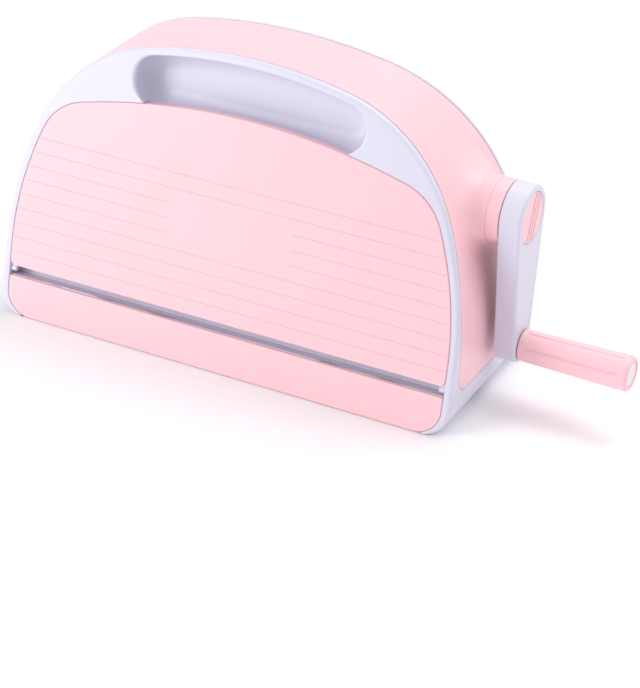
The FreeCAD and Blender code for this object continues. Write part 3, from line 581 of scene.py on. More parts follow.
@dataclass(frozen=True)
class CaseForm:
    """Sizes that the shell, the frames and the base share.

    Args:
        arch: outline of the case, seen square on.
        half_depth: half the depth at the floor.
        lean: how far each face leans back, radians.
        foot_radius: round lower corners of the outline.
        rim_depth: thickness of the white rim in front of the shell.
        rim_foot_depth: its thickness at the foot, where the shell's edge stands upright.
        shell_bottom: lower edge of the shell.
        shell_corner: radius of the shell's lower corners.
        bend: half the length over which the shell's edge turns from upright to leaning.
    """

    arch: Arch = Arch(162.0, 45.0, 226.0, 105.0, 338.0, 202.0)
    half_depth: float = 68.0
    lean: float = math.radians(10.5)
    foot_radius: float = 16.0
    rim_depth: float = 4.0
    rim_foot_depth: float = 12.4
    shell_bottom: float = 24.2
    shell_corner: float = 10.0
    bend: float = 18.4

    @property
    def foot_y(self) -> float:
        """Gives y of the upright part of the shell's front edge."""
        return float(self.face_y(np.float64(self.shell_bottom), self.rim_foot_depth))

    def shell_edge(self, height: Array) -> Array:
        """Gives y of the shell's front edge: round corner, upright foot, then along the leaning face.

        The turn from upright to leaning is m (s + t)^2 / 4t, where s is the height over the bend, t its half
        length and m the slope; the corner adds r - sqrt(r^2 - (r - h)^2).

        Args:
            height: heights from the shell's bottom up.

        Returns:
            The depths.
        """
        slope = math.tan(self.lean)
        leaning = self.face_y(height, self.rim_depth)
        over = np.clip((leaning - self.foot_y) / slope, -self.bend, None)
        eased = self.foot_y + slope * np.square(over + self.bend) / (4.0 * self.bend)
        near = self.shell_corner - np.clip(height - self.shell_bottom, 0.0, self.shell_corner)
        pulled = self.shell_corner - np.sqrt(self.shell_corner ** 2 - near ** 2)
        return np.where(over > self.bend, leaning, eased) + pulled

    def setback(self, y: Array, height: Array) -> Array:
        """Gives how far a point lies squarely behind the front face."""
        return (y + self.half_depth - height * math.tan(self.lean)) * math.cos(self.lean)

    def face_y(self, height: Array, setback: float | Array) -> Array:
        """Gives y on a plane set back squarely from the front face: -d/2 + n / cos + z tan."""
        return -self.half_depth + setback / math.cos(self.lean) + height * math.tan(self.lean)

    def on_section(self, flat: Array, depth: float | Array) -> Array:
        """Takes (x, z) of the case's section and a depth behind the face to a point."""
        y = self.face_y(flat[..., 1], depth)
        return np.stack(np.broadcast_arrays(flat[..., 0], y, flat[..., 1]), axis=-1)

    def on_face(self, flat: Array, depth: float | Array) -> Array:
        """Takes (x, q), drawn on the leaning face, to a point: y = -d/2 + n cos + q sin, z = q cos - n sin.

        Args:
            flat: x and q, any number of them.
            depth: n, how far behind the face.

        Returns:
            The points.
        """
        q = flat[..., 1]
        y = -self.half_depth + depth * math.cos(self.lean) + q * math.sin(self.lean)
        z = q * math.cos(self.lean) - depth * math.sin(self.lean)
        return np.stack(np.broadcast_arrays(flat[..., 0], y, z), axis=-1)

    @property
    def outward(self) -> tuple[float, float, float]:
        """Gives the way that the front face looks."""
        return (0.0, -math.cos(self.lean), math.sin(self.lean))


FORM = CaseForm()


# Shell and base


@dataclass
class OuterShell:
    """Pink arched cover with the flared boss that carries the crank.

    Args:
        seam_gap: fine gap to the white rim.
        edge: rounding of the seam edge.
        wall: wall thickness.
        boss_radius: radius of the boss.
        flare_width: how far the flare reaches out at its widest.
        flare_height: how high the flare climbs the boss.
        window: lowest and highest height of the part that the flare is drawn in.
        margin: columns between the seams and that part.
        columns: columns from front to back.
        rings: rings of the flare.
        flare_share: largest share of the boss's length that the flare climbs.
        flare_least: width of the flare where the boss has no length.
        flare_gain: how much wider it gets with the boss's length.
        bore_share: radius of the boss's open end, as a share of the boss.
    """

    seam_gap: float = 0.45
    edge: float = 0.45
    wall: float = 2.4
    boss_radius: float = 20.8
    flare_width: float = 15.0
    flare_height: float = 14.0
    window: tuple[float, float] = (84.0, 170.0)
    margin: int = 6
    columns: int = 61
    rings: int = 30
    flare_share: float = 0.92
    flare_least: float = 9.0
    flare_gain: float = 0.5
    bore_share: float = 0.6

    def _section(self) -> Outline:
        """Walks the section from the lower right edge over the top to the lower left edge.

        Returns:
            The section, square on.
        """
        arch, bottom, corner = FORM.arch, FORM.shell_bottom, FORM.shell_corner
        rise = arch.straight_top - bottom
        rounding = corner * (1.0 - np.cos(np.linspace(0.0, QUARTER_TURN, 14)))
        share = np.concatenate([rounding, np.linspace(corner, rise, 7)[1:]]) / rise
        low = line((arch.half_width, bottom), (arch.half_width, arch.straight_top), share)
        right = chain([low, arch.side_arc(64), arch.shoulder_arc(48), arch.crown_arc(count=44)])
        return chain([right, right.mirrored()])

    def _grid(self) -> tuple[Array, Array]:
        """Carries the section across the depth, rounded at both seams and at the lower corners.

        Returns:
            Points, rows along the section by columns from front to back, and the height of each row.
        """
        section = self._section()
        inset, step = quarter(self.edge)
        middle = np.linspace(0.0, 1.0, self.columns)[1:-1]
        insets = np.concatenate([inset, np.zeros(len(middle)), inset[::-1]])
        flat = section.points[:, None, :] - insets[None, :, None] * section.normals[:, None, :]
        height = section.points[:, 1]
        front = FORM.shell_edge(height) + self.seam_gap
        first = front[:, None] + step[None, :]
        inner = front + self.edge
        across = inner[:, None] * (1.0 - 2.0 * middle[None, :])
        y = np.concatenate([first, across, -first[:, ::-1]], axis=1)
        return np.stack([flat[..., 0], y, flat[..., 1]], axis=-1), height

    def _flare(self, ring: Array, axis: float, end: float) -> Array:
        """Draws the boss inside a ring of shell points, as a trumpet about the crank axis.

        The height over the shell is h (1 - sqrt(1 - (1 - p)^2)), where p runs from 0 at the boss to 1 where
        the flare ends. The height and the width of the flare shrink where the shell comes nearer.

        Args:
            ring: points of the shell round the boss, n by 3.
            axis: height of the crank axis.
            end: x of the boss's end.

        Returns:
            Rings by n by 3 points, from the shell to the boss's end.
        """
        angle = np.arctan2(ring[:, 1], ring[:, 2] - axis)
        reach = np.hypot(ring[:, 1], ring[:, 2] - axis)
        foot, _ = FORM.arch.width_at(axis + self.boss_radius * np.cos(angle))
        room = end - foot
        tall = np.minimum(room * self.flare_share, self.flare_height)
        wide = np.minimum(self.flare_width, self.flare_least + self.flare_gain * room)
        share = np.linspace(1.0, 0.0, self.rings)[:, None] ** 2
        radius = self.boss_radius + (reach - self.boss_radius) * share
        height = axis + radius * np.cos(angle)
        base, _ = FORM.arch.width_at(height)
        part = np.clip((radius - self.boss_radius) / wide, 0.0, 1.0)
        x = base + tall * (1.0 - np.sqrt(1.0 - (1.0 - part) ** 2))
        flare = np.stack([x, radius * np.sin(angle), height], axis=-1)
        rim = flare[-1:].copy()
        rim[..., 0] = end
        lip = rim.copy()
        middle = np.array([0.0, axis])
        lip[..., 1:] = middle + (rim[..., 1:] - middle) * self.bore_share
        return np.concatenate([flare, rim, lip])

    def build(self) -> None:
        """Makes the shell."""
        draft = MeshDraft("shell_skin")
        points, height = self._grid()
        rows, columns = points.shape[:2]
        right = np.arange(rows) < rows // 2
        chosen = np.flatnonzero(right & (height > self.window[0]) & (height < self.window[1]))
        top, bottom = chosen[-1], chosen[0]
        first, last = self.margin, columns - 1 - self.margin
        keep = np.ones((rows - 1, columns - 1), bool)
        keep[bottom:top, first:last] = False
        draft.grid(points, keep=keep)
        ring = np.concatenate([points[bottom, first:last], points[bottom:top, last],
                               points[top, last:first:-1], points[top:bottom:-1, first]])
        boss_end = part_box("crank_collar")[0].x / MM
        draft.grid(self._flare(ring, node_centre("crank_collar").z, boss_end), closed=True)
        place(draft.make((0.0, 0.0, 1.0), wall=self.wall), "case", Slot.PINK, "outer_shell")


@dataclass
class BasePan:
    """White base whose side bands show under the shell.

    Args:
        seam: fine gap under the shell.
        lift: how far the underside stays above the pads.
        wall: wall thickness.
        corner_start: angle that the lower corners leave out at the underside, radians.
        seam_fade: length over which the seam opens beside the shell's corners.
        columns: columns from front to back.
    """

    seam: float = 0.25
    lift: float = 0.3
    wall: float = 2.0
    corner_start: float = 0.14
    seam_fade: float = 2.0
    columns: int = 61

    def build(self) -> None:
        """Makes the band and the underside as one surface carried from front to back."""
        arch, foot, top = FORM.arch, FORM.foot_radius, FORM.shell_bottom
        share = np.linspace(0.0, 1.0, self.columns)
        centre = (arch.half_width - foot, foot)
        side = line((arch.half_width, foot), (arch.half_width, top), 10)
        corner = arc(centre, foot, self.corner_start - QUARTER_TURN, 0.0, 18)
        low = line((0.0, self.lift), (arch.half_width - foot, self.lift), 12)
        right = chain([low, corner, side])
        section = chain([right.mirrored(), right])
        height = np.maximum(section.points[:, 1], self.lift)
        front = FORM.face_y(height, FORM.rim_depth)
        y = front[:, None] * (1.0 - 2.0 * share)
        inside = -FORM.foot_y - FORM.shell_corner - np.abs(y)
        under_shell = smooth_step(inside / self.seam_fade + 0.5)
        lowered = self.seam * smooth_step((height - foot) / (top - foot))[:, None] * under_shell
        x = np.repeat(section.points[:, :1], self.columns, axis=1)
        z = np.repeat(height[:, None], self.columns, axis=1) - lowered
        draft = MeshDraft("base_band")
        draft.grid(np.stack([x, y, z], axis=-1))
        place(draft.make((0.0, 0.0, -1.0), wall=self.wall), "case", Slot.WHITE, "base_pan")


# Faces


@dataclass
class FaceSet:
    """One face of the machine: white frame, sill, carry cup and fold-down tray.

    Args:
        side: front or back.
        tray: outline of the tray, drawn on the leaning face.
        tray_bottom: lower edge of the tray.
        tray_corner: round lower corners of the tray.
        tray_depth: thickness of the tray.
        tray_edge: rounding of the tray's front edge.
        back_edge: softened edge of its back.
        ear_drop: how far the hinge pins lie under the tray.
        ear_radius: radius of the hinge ears.
        ear_length: length of the hinge ears.
        ear_edge: softened edge of the hinge ears.
        ear_inset: how far they stay inside the tray's sides.
        ear_wrap: how far their barrels go round above the pin at the front and at the back, radians.
        ear_web: how far their webs reach into the tray, as a share of its lower corners.
        gap: gap between the tray and its bay.
        sill_top: upper edge of the sill.
        sill_low: lower edge of the sill.
        sill_corner: round lower corners of the sill.
        sill_top_corner: round upper corners of the sill.
        sill_depth: thickness of the sill.
        sill_edge: rounding of the sill's front edge.
        sill_lift: how far the sill stays above the ground.
        seat_gap: fine gap behind the sill.
        seat_lift: how far the back of the sill's seat stays above the ground.
        frame_wall: wall behind the frame's skin.
        frame_lift: how far the frame's underside stays above the ground.
        rim_round: rounding of the frame's outer edge.
        rim_least: smallest rounding, where the frame is narrow.
        rim_flat: flat left between that rounding and the opening.
        rim_dip: the rim's way into the seam beside the shell, as insets and distances in front of the shell.
        inner_round: rounding of its edge round the tray.
        gap_step: how far the bay's wall closes the gap close behind the face.
        step_depths: where that step starts and ends behind the face.
        bay_depth: depth of the tray bay.
        bay_skin: wall behind the bay.
        channel_depth: how far back the channel behind the slot goes.
        feed_drop: how far the feed opening reaches under the table.
        feed_rise: how far it reaches over the table.
        lip: height of the frame between the carry recess and the top.
        cup_ends: how far the carry recess reaches to the right and to the left.
        cup_low: lower edge of the carry recess, which lies behind the tray.
        cup_low_radius: its lower corners.
        cup_high_radius: its upper corners.
        cup_depth: its depth.
        cup_round: rounding between its walls and its back.
        cup_wall: its wall thickness.
        cup_clear: how far its skin starts behind the tray.
        cup_overlap: how far its skin reaches under the frame's edge.
        cup_lip: rounding of the frame's edge at its ends.
        lip_fade: height over which that rounding grows.
        grooves: grooves across the tray.
        groove_pitch: distance between them.
        groove_first: height of the lowest over the tray's lower edge.
        groove_half: half their width.
        groove_flat: share of their width that is flat.
        groove_depth: their depth.
        groove_fade: length over which they run out.
        groove_margin: height of the rows over the highest groove, as a share of the pitch.
        bare_grooves: grooves that stop beside the bare field.
        bare_half: half the width of the bare field.
        table_wall: wall of the tray round the table.
        table_recess: depth of the tray's recess for the table.
        table_inset: how far the table lies inside the tray's edge.
        table_thickness: thickness of the table.
        table_edge: softened edge of the table.
    """

    side: Side
    tray: Arch = Arch(157.0, 45.0 / math.cos(FORM.lean), 221.0, 38.0, 455.0, 168.04)
    tray_bottom: float = 33.9
    tray_corner: float = 4.0
    tray_depth: float = 6.5
    tray_edge: float = 0.9
    back_edge: float = 0.4
    ear_drop: float = 2.7
    ear_radius: float = 1.9
    ear_length: float = 4.0
    ear_edge: float = 0.3
    ear_inset: float = 0.05
    ear_wrap: tuple[float, float] = (1.0, 1.05)
    ear_web: float = 0.9
    gap: float = 0.4
    sill_top: float = 26.9
    sill_low: float = 0.5
    sill_corner: float = 17.0
    sill_top_corner: float = 1.5
    sill_depth: float = 2.4
    sill_edge: float = 0.9
    sill_lift: float = 0.3
    seat_gap: float = 0.05
    seat_lift: float = 0.25
    frame_wall: float = 0.6
    frame_lift: float = 0.1
    rim_round: float = 2.2
    rim_least: float = 0.15
    rim_flat: float = 0.2
    rim_dip: tuple[tuple[float, float], ...] = ((2.4, 0.0), (0.35, 0.0), (0.1, 0.1), (0.0, 0.35))
    inner_round: float = 0.35
    gap_step: float = 0.28
    step_depths: tuple[float, float] = (0.75, 0.8)
    bay_depth: float = 7.4
    bay_skin: float = 2.0
    channel_depth: float = 11.3
    feed_drop: float = 0.3
    feed_rise: float = 17.0
    lip: float = 4.4
    cup_ends: tuple[float, float] = (83.0, 77.0)
    cup_low: float = 160.54
    cup_low_radius: float = 17.4
    cup_high_radius: float = 15.0
    cup_depth: float = 19.5
    cup_round: float = 11.5
    cup_wall: float = 1.6
    cup_clear: float = 0.2
    cup_overlap: float = 0.3
    cup_lip: float = 2.6
    lip_fade: float = 9.0
    grooves: int = 9
    groove_pitch: float = 10.0
    groove_first: float = 10.2
    groove_half: float = 0.33
    groove_flat: float = 0.45
    groove_depth: float = 0.35
    groove_fade: float = 0.6
    groove_margin: float = 0.6
    bare_grooves: tuple[int, ...] = (4, 5, 6)
    bare_half: float = 44.0
    table_wall: float = 2.0
    table_recess: float = 2.2
    table_inset: float = 2.15
    table_thickness: float = 2.0
    table_edge: float = 0.4

    def name(self, piece: str) -> str:
        """Gives a piece's name on this side."""
        return f"{self.side.prefix}_{piece}"

    # Outlines on the face

    @property
    def bay(self) -> Arch:
        """Gives the outline of the tray bay: the tray's, grown by the gap."""
        return self.tray.grown(self.gap)

    @property
    def skin(self) -> Arch:
        """Gives the outline of the tray's front skin: the tray's, less the rounded edge."""
        return self.tray.grown(-self.tray_edge)

    def _cup_crown(self) -> Arch:
        """Gives the arc over the carry recess as an arch of its own.

        Returns:
            The case's arch, lowered by the lip.
        """
        arch = FORM.arch
        top = arch.top / math.cos(FORM.lean) - self.lip
        return Arch(arch.half_width, arch.straight_top, arch.side_radius, arch.shoulder_radius,
                    arch.crown_radius - self.lip, top)

    def _cup_end(self, reach_x: float) -> list[Outline]:
        """Walks one end of the carry recess, drawn as a right end.

        Args:
            reach_x: how far the recess reaches on this half.

        Returns:
            Lower arc, side, upper arc and half the crown.
        """
        crown = self._cup_crown()
        low_centre = (reach_x - self.cup_low_radius, self.cup_low + self.cup_low_radius)
        high_x = reach_x - self.cup_high_radius
        reach = crown.crown_radius - self.cup_high_radius
        high_centre = (high_x, crown.crown_centre[1] + math.sqrt(reach ** 2 - high_x ** 2))
        turn = math.atan2(high_centre[1] - crown.crown_centre[1], high_x)
        return [arc(low_centre, self.cup_low_radius, -QUARTER_TURN, 0.0, 72),
                line((reach_x, low_centre[1]), (reach_x, high_centre[1]), 4),
                arc(high_centre, self.cup_high_radius, 0.0, turn, 18),
                arc(crown.crown_centre, crown.crown_radius, turn, QUARTER_TURN, 40)]

    def _cup_outline(self) -> Outline:
        """Walks the whole carry recess.

        Returns:
            The closed outline.
        """
        halves = []
        for reach_x in self.cup_ends:
            floor = line((0.0, self.cup_low), (reach_x - self.cup_low_radius, self.cup_low), 24)
            halves.append(chain([floor] + self._cup_end(reach_x)))
        return chain([halves[0], halves[1].mirrored()])

    def _cut_of_cup(self, reach_x: float) -> tuple[Outline, float]:
        """Cuts the lower arc of the carry recess at the tray bay.

        Args:
            reach_x: how far the recess reaches on this half.

        Returns:
            The part of the arc above the bay, and x where it leaves the bay.
        """
        low = self._cup_end(reach_x)[0]
        above = low.points[:, 1] > self.bay.crown_height(low.points[:, 0])
        first = int(np.argmax(above))
        kept = Outline(low.points[first:], low.normals[first:])
        return kept, float(kept.points[0, 0])

    def _opening_half(self, reach_x: float) -> tuple[Outline, list[Outline]]:
        """Walks half of the frame's opening, drawn as a right half.

        Args:
            reach_x: how far the carry recess reaches on this half.

        Returns:
            The half outline, and its parts beside the sill, round the tray and round the recess.
        """
        bay = self.bay
        radius = self.sill_corner + self.gap
        centre = (bay.half_width - radius, self.sill_low + self.sill_corner)
        cup_low, cup_x = self._cut_of_cup(reach_x)
        start = math.acos((FORM.arch.half_width - FORM.foot_radius - centre[0]) / radius)
        beside_sill = chain([arc(centre, radius, -start, 0.0, 16),
                             line((bay.half_width, centre[1]), (bay.half_width, self.sill_top), 4)])
        round_tray = chain([line((bay.half_width, self.sill_top), (bay.half_width, bay.straight_top), 6),
                            bay.side_arc(), bay.shoulder_arc(14), bay.crown_arc(cup_x, 20)])
        half = chain([beside_sill, round_tray, cup_low] + self._cup_end(reach_x)[1:])
        first = len(beside_sill.points) - 1
        second = first + len(round_tray.points) - 1
        parts = [(0, first + 1), (first, second + 1), (second, len(half.points))]
        return half, [Outline(half.points[i:j], half.normals[i:j]) for i, j in parts]

    # Frame

    def build_frame(self) -> None:
        """Makes the white frame: round rim, flat face, tray bay with the feed opening."""
        draft = MeshDraft(self.name("frame_skin"))
        right, right_parts = self._opening_half(self.cup_ends[0])
        left, left_parts = self._opening_half(self.cup_ends[1])
        self._add_rim(draft, chain([right, left.mirrored()]))
        for parts in (right_parts, [part.mirrored() for part in left_parts]):
            self._add_opening_edge(draft, parts[0], self.sill_depth + self.seat_gap, self.gap_step)
            self._add_opening_edge(draft, parts[1], self.bay_depth, self.gap_step)
            self._add_opening_edge(draft, parts[2], FORM.rim_depth, 0.0)
        self._add_bay(draft)
        skin = draft.make(FORM.outward, self.side, wall=self.frame_wall)
        place(skin, "case", Slot.WHITE, self.name("frame"))

    @staticmethod
    def _rim_sections() -> list[Outline]:
        """Walks the outside of the frame.

        Returns:
            The right foot, the part beside the shell, which goes over the top, and the left foot.
        """
        arch, foot, low = FORM.arch, FORM.foot_radius, FORM.shell_bottom
        side, corner = arch.half_width, FORM.shell_corner
        share = 1.0 - np.cos(np.linspace(0.0, QUARTER_TURN, 14))
        right_foot = chain([arc((side - foot, foot), foot, -QUARTER_TURN, 0.0, 20),
                            line((side, foot), (side, low), 5)])
        right = chain([line((side, low), (side, low + corner), share),
                       line((side, low + corner), (side, arch.straight_top), 7),
                       arch.side_arc(), arch.shoulder_arc(), arch.crown_arc(count=40)])
        return [right_foot, chain([right, right.mirrored()]), right_foot.mirrored()]

    def _add_rim(self, draft: MeshDraft, opening: Outline) -> None:
        """Adds the rounded outer edge and the flat face inside it.

        The rounding is a quarter circle whose radius shrinks where the frame is narrower than it. Beside the
        shell the edge goes on to the seam and dips into it.

        Args:
            draft: where to add.
            opening: the whole opening, walked the same way as the rim.
        """
        inner_edge = opening.inset(-self._edge_rounding(opening))
        flat_inner = inner_edge * np.array([1.0, math.cos(FORM.lean)])
        rounding = [*zip(*quarter(1.0, 9))][::-1]
        edge = []
        for section, beside_shell in zip(self._rim_sections(), (False, True, False)):
            gaps = np.linalg.norm(section.points[:, None, :] - flat_inner[None, :, :], axis=2)
            radius = np.clip(gaps.min(axis=1) - self.rim_flat, self.rim_least, self.rim_round)
            height = section.points[:, 1]
            rows = [FORM.on_section(section.points, FORM.rim_depth)]
            if beside_shell:
                seam = FORM.setback(FORM.shell_edge(height), height)
                rows = [FORM.on_section(section.inset(inset), seam - ahead) for inset, ahead in self.rim_dip]
            rows += [FORM.on_section(section.inset(radius * inset), radius * depth) for inset, depth in rounding]
            draft.grid(np.stack(rows))
            edge.append(rows[-1] if not edge else rows[-1][1:])
        inner = FORM.on_face(inner_edge, 0.0)
        draft.flat(np.concatenate(edge + [inner[::-1]]))
        low = FORM.arch.half_width - FORM.foot_radius
        strip = np.array([[-low, self.frame_lift], [low, self.frame_lift]])
        draft.grid(np.stack([FORM.on_section(strip, depth) for depth in (self.sill_depth, FORM.rim_depth)]))

    def _edge_rounding(self, outline: Outline) -> Array:
        """Gives the rounding along the opening: fine round the tray, wide at the ends of the carry recess.

        Args:
            outline: any part of the opening.

        Returns:
            The radius at each point.
        """
        start = self._cut_of_cup(self.cup_ends[0])[0].points[0, 1]
        share = np.abs(outline.normals[:, 0]) * smooth_step((outline.points[:, 1] - start) / self.lip_fade)
        return self.inner_round + (self.cup_lip - self.inner_round) * share

    def _add_opening_edge(self, draft: MeshDraft, part: Outline, deep: float, step: float) -> None:
        """Adds the rounded edge of one part of the opening and the wall behind it.

        Args:
            draft: where to add.
            part: part of the opening.
            deep: how far back the wall goes.
            step: how far the wall steps towards the piece in the opening, close behind the edge.
        """
        radius = self._edge_rounding(part)
        rows = [FORM.on_face(part.inset(-radius * inset), radius * depth) for inset, depth in zip(*quarter(1.0, 7))]
        if step > 0.0:
            rows += [FORM.on_face(part.inset(inset), depth) for inset, depth in zip((0.0, step), self.step_depths)]
        draft.grid(np.stack(rows + [FORM.on_face(part.inset(step), deep)]))

    def _add_bay(self, draft: MeshDraft) -> None:
        """Adds the floor of the tray bay round the feed opening, the slot's channel and the sill's seat.

        Args:
            draft: where to add.
        """
        bay = self.bay
        feed_left, feed_right, feed_low, feed_high = self._feed_opening()
        low_x, _ = bay.width_at(np.array([self.sill_top]))
        floor = self.bay_depth
        side_q = np.linspace(feed_low, feed_high, 8)
        side_x, _ = bay.width_at(side_q)
        for sign, edge in ((1.0, feed_right), (-1.0, feed_left)):
            outer = np.stack([sign * side_x, side_q], axis=1)
            draft.flat(FORM.on_face(np.concatenate([outer, [[edge, feed_high], [edge, feed_low]]]), floor))
        rise = np.linspace(feed_high, bay.side_top, 40)
        rise_x, _ = bay.width_at(rise)
        halves = []
        for reach_x in self.cup_ends:
            cup_x = self._cut_of_cup(reach_x)[1]
            under = self._cup_end(reach_x)[0].points
            under = under[under[:, 0] <= cup_x][::-1]
            halves.append(np.concatenate([np.stack([rise_x, rise], axis=1), bay.shoulder_arc(14).points[1:],
                                          bay.crown_arc(cup_x, 20).points[1:], under]))
        draft.flat(FORM.on_face(np.concatenate([halves[0], halves[1][::-1] * MIRROR]), floor))
        hole = np.array([[feed_left, feed_low], [feed_left, feed_high], [feed_right, feed_high],
                         [feed_right, feed_low]])
        draft.grid(np.stack([FORM.on_face(hole, floor), FORM.on_face(hole, floor + self.bay_skin)]))
        deep, back = self.channel_depth, self.sill_depth + self.seat_gap
        ends = np.array([-low_x[0], low_x[0]])
        channel = ((self.sill_top, back), (self.sill_top, deep), (feed_low, deep), (feed_low, floor))
        draft.grid(np.stack([FORM.on_face(np.stack([ends, [q, q]], axis=1), depth) for q, depth in channel]))
        for x in ends:
            sides = [FORM.on_face(np.array([[x, self.sill_top], [x, feed_low]]), depth) for depth in (floor, deep)]
            draft.grid(np.stack(sides))
        lowest = (self.seat_lift + back * math.sin(FORM.lean)) / math.cos(FORM.lean)
        seat = np.maximum(self._sill_outline().inset(-self.gap), [-np.inf, lowest])
        draft.flat(FORM.on_face(seat, back))

    def _feed_opening(self) -> tuple[float, float, float, float]:
        """Works out the feed opening on the bay's floor from the side plates and the table.

        Returns:
            Its left, right, low and high edges.
        """
        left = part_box("left_side_plate")[1].x / MM
        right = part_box("right_side_plate")[0].x / MM
        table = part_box("front_platform")[1].z / MM
        lowest, highest = table - self.feed_drop, table + self.feed_rise
        to_face = [(z + self.bay_depth * math.sin(FORM.lean)) / math.cos(FORM.lean) for z in (lowest, highest)]
        return left, right, to_face[0], to_face[1]

    # Sill

    def _sill_outline(self) -> Outline:
        """Walks the sill: large lower corners, small upper ones.

        Returns:
            The closed outline.
        """
        half, corner, small = self.tray.half_width, self.sill_corner, self.sill_top_corner
        right = chain([line((0.0, self.sill_low), (half - corner, self.sill_low), 12),
                       arc((half - corner, self.sill_low + corner), corner, -QUARTER_TURN, 0.0, 20),
                       line((half, self.sill_low + corner), (half, self.sill_top - small), 5),
                       arc((half - small, self.sill_top - small), small, 0.0, QUARTER_TURN, 8)])
        across = line((half - small, self.sill_top), (small - half, self.sill_top), 24)
        return chain([right, across, right.mirrored()])

    def build_sill(self) -> None:
        """Makes the pink sill as a rounded slab."""
        outline = self._sill_outline()
        draft = MeshDraft(self.name("sill_skin"))
        profile = [*zip(*quarter(self.sill_edge)), (0.0, self.sill_depth)]
        rows = [FORM.on_face(outline.inset(inset), depth) for inset, depth in profile]
        draft.band([np.maximum(row, [-np.inf, -np.inf, self.sill_lift]) for row in rows])
        place(draft.make(FORM.outward, self.side), "case", Slot.PINK, self.name("sill"))

    # Carry cup

    def build_cup(self) -> None:
        """Makes the carry recess: the outline goes straight in, then rounds over to a flat back."""
        outline = self._cup_outline()
        behind = outline.points[:, 1] < self.bay.crown_height(outline.points[:, 0]) + SLACK
        start = np.where(behind, self.tray_depth + self.cup_clear, FORM.rim_depth - self.cup_overlap)
        straight = self.cup_depth - self.cup_round
        rows = [FORM.on_face(outline.points, depth) for depth in (start, (start + straight) / 2.0)]
        rows += [FORM.on_face(outline.inset(inset), self.cup_depth - before_back)
                 for before_back, inset in zip(*quarter(self.cup_round, 14))]
        draft = MeshDraft(self.name("cup_skin"))
        draft.band(rows, first=False)
        skin = draft.make(FORM.outward, self.side, wall=self.cup_wall)
        place(skin, "case", Slot.WHITE, self.name("handle_cup"))

    # Tray

    def _groove_rows(self) -> tuple[Array, Array, Array]:
        """Works out the rows of the tray's front skin.

        Returns:
            Their heights, the groove depth at each, and the groove that each belongs to, or -1.
        """
        centres = self.tray_bottom + self.groove_first + self.groove_pitch * np.arange(self.grooves)
        steps = np.array([-1.0, -self.groove_flat, self.groove_flat, 1.0]) * self.groove_half
        heights = (centres[:, None] + steps).ravel()
        depth = np.tile([0.0, 1.0, 1.0, 0.0], self.grooves) * self.groove_depth
        owner = np.repeat(np.arange(self.grooves), 4)
        turn = np.linspace(QUARTER_TURN, 0.0, 8)
        corner = self.tray_bottom + self.tray_corner - (self.tray_corner - self.tray_edge) * np.sin(turn)
        plain = np.zeros(len(corner))
        heights = np.concatenate([corner, heights, [centres[-1] + self.groove_margin * self.groove_pitch]])
        return heights, np.concatenate([plain, depth, [0.0]]), np.concatenate([plain - 1, owner, [-1]])

    def _row_ends(self, heights: Array) -> tuple[Array, Array]:
        """Gives where the skin's rows end, inside the rounded edge.

        Args:
            heights: heights of the rows.

        Returns:
            The half widths, and n by 2 outward normals.
        """
        width, normals = self.skin.width_at(heights)
        radius = self.tray_corner - self.tray_edge
        sine = np.clip((self.tray_bottom + self.tray_corner - heights) / radius, 0.0, 1.0)
        cosine = np.sqrt(1.0 - sine ** 2)
        rounded = sine > 0.0
        width = np.where(rounded, self.tray.half_width - self.tray_corner + radius * cosine, width)
        return width, np.where(rounded[:, None], np.stack([cosine, -sine], axis=-1), normals)

    def build_tray(self) -> None:
        """Makes the pink tray: grooved skin, rounded edge, side wall and a recess for the table at the back."""
        draft = MeshDraft(self.name("tray_skin"))
        heights, depth, owner = self._groove_rows()
        width, _ = self._row_ends(heights)
        run_out = self.bare_half + self.groove_fade * np.array([-1.0, 0.0, 1.0])
        fixed = np.concatenate([[0.0, 14.0, 28.0], run_out, [60.0, 80.0]])
        edge = self.groove_fade * np.array([2.0, 1.5, 1.0, 0.5, 0.0])
        near = np.repeat(fixed[None, :], len(heights), axis=0)
        far = width[:, None] - edge[None, :]
        mid = near[:, -1:] + (far[:, :1] - near[:, -1:]) * np.array([[0.25, 0.5, 0.75]])
        half = np.concatenate([near, mid, far], axis=1)
        x = np.concatenate([-half[:, :0:-1], half], axis=1)
        fade = smooth_step((width[:, None] - np.abs(x)) / self.groove_fade)
        bare = np.isin(owner, self.bare_grooves)[:, None]
        beside = smooth_step(0.5 * (np.abs(x) - self.bare_half) / self.groove_fade + 0.5)
        fade = np.where(bare, fade * beside, fade)
        skin = np.stack([x, np.repeat(heights[:, None], x.shape[1], axis=1)], axis=-1)
        draft.grid(FORM.on_face(skin, depth[:, None] * fade))
        outline = self._tray_outline(heights, x[0])
        upper = self._tray_upper(heights[-1])
        top_edge = np.stack([x[-1], np.full(x.shape[1], heights[-1])], axis=1)
        draft.flat(FORM.on_face(np.concatenate([top_edge, upper.points[1:-1]]), 0.0))
        back, wall, soft = self.tray_depth, self.table_wall, self.back_edge
        profile = [*zip(*quarter(self.tray_edge, 7)), (0.0, back - soft), (soft / 4.0, back - soft / 4.0),
                   (soft, back), (wall, back), (wall, back - self.table_recess)]
        draft.band([FORM.on_face(outline.inset(inset), n) for inset, n in profile], first=False)
        cover = draft.make(FORM.outward, self.side)
        place(cover, self.name("tray"), Slot.PINK, self.name("tray_cover"))
        self._build_ears()

    def _tray_upper(self, low: float) -> Outline:
        """Walks the skin's outline from a height on the right over the crown to the same height on the left.

        Args:
            low: that height.

        Returns:
            The open outline.
        """
        arch = self.skin
        heights = np.linspace(low, arch.side_top, 8)
        width, normals = arch.width_at(heights)
        side = Outline(np.stack([width, heights], axis=1), normals)
        right = chain([side, arch.shoulder_arc(14), arch.crown_arc(count=32)])
        return chain([right, right.mirrored()])

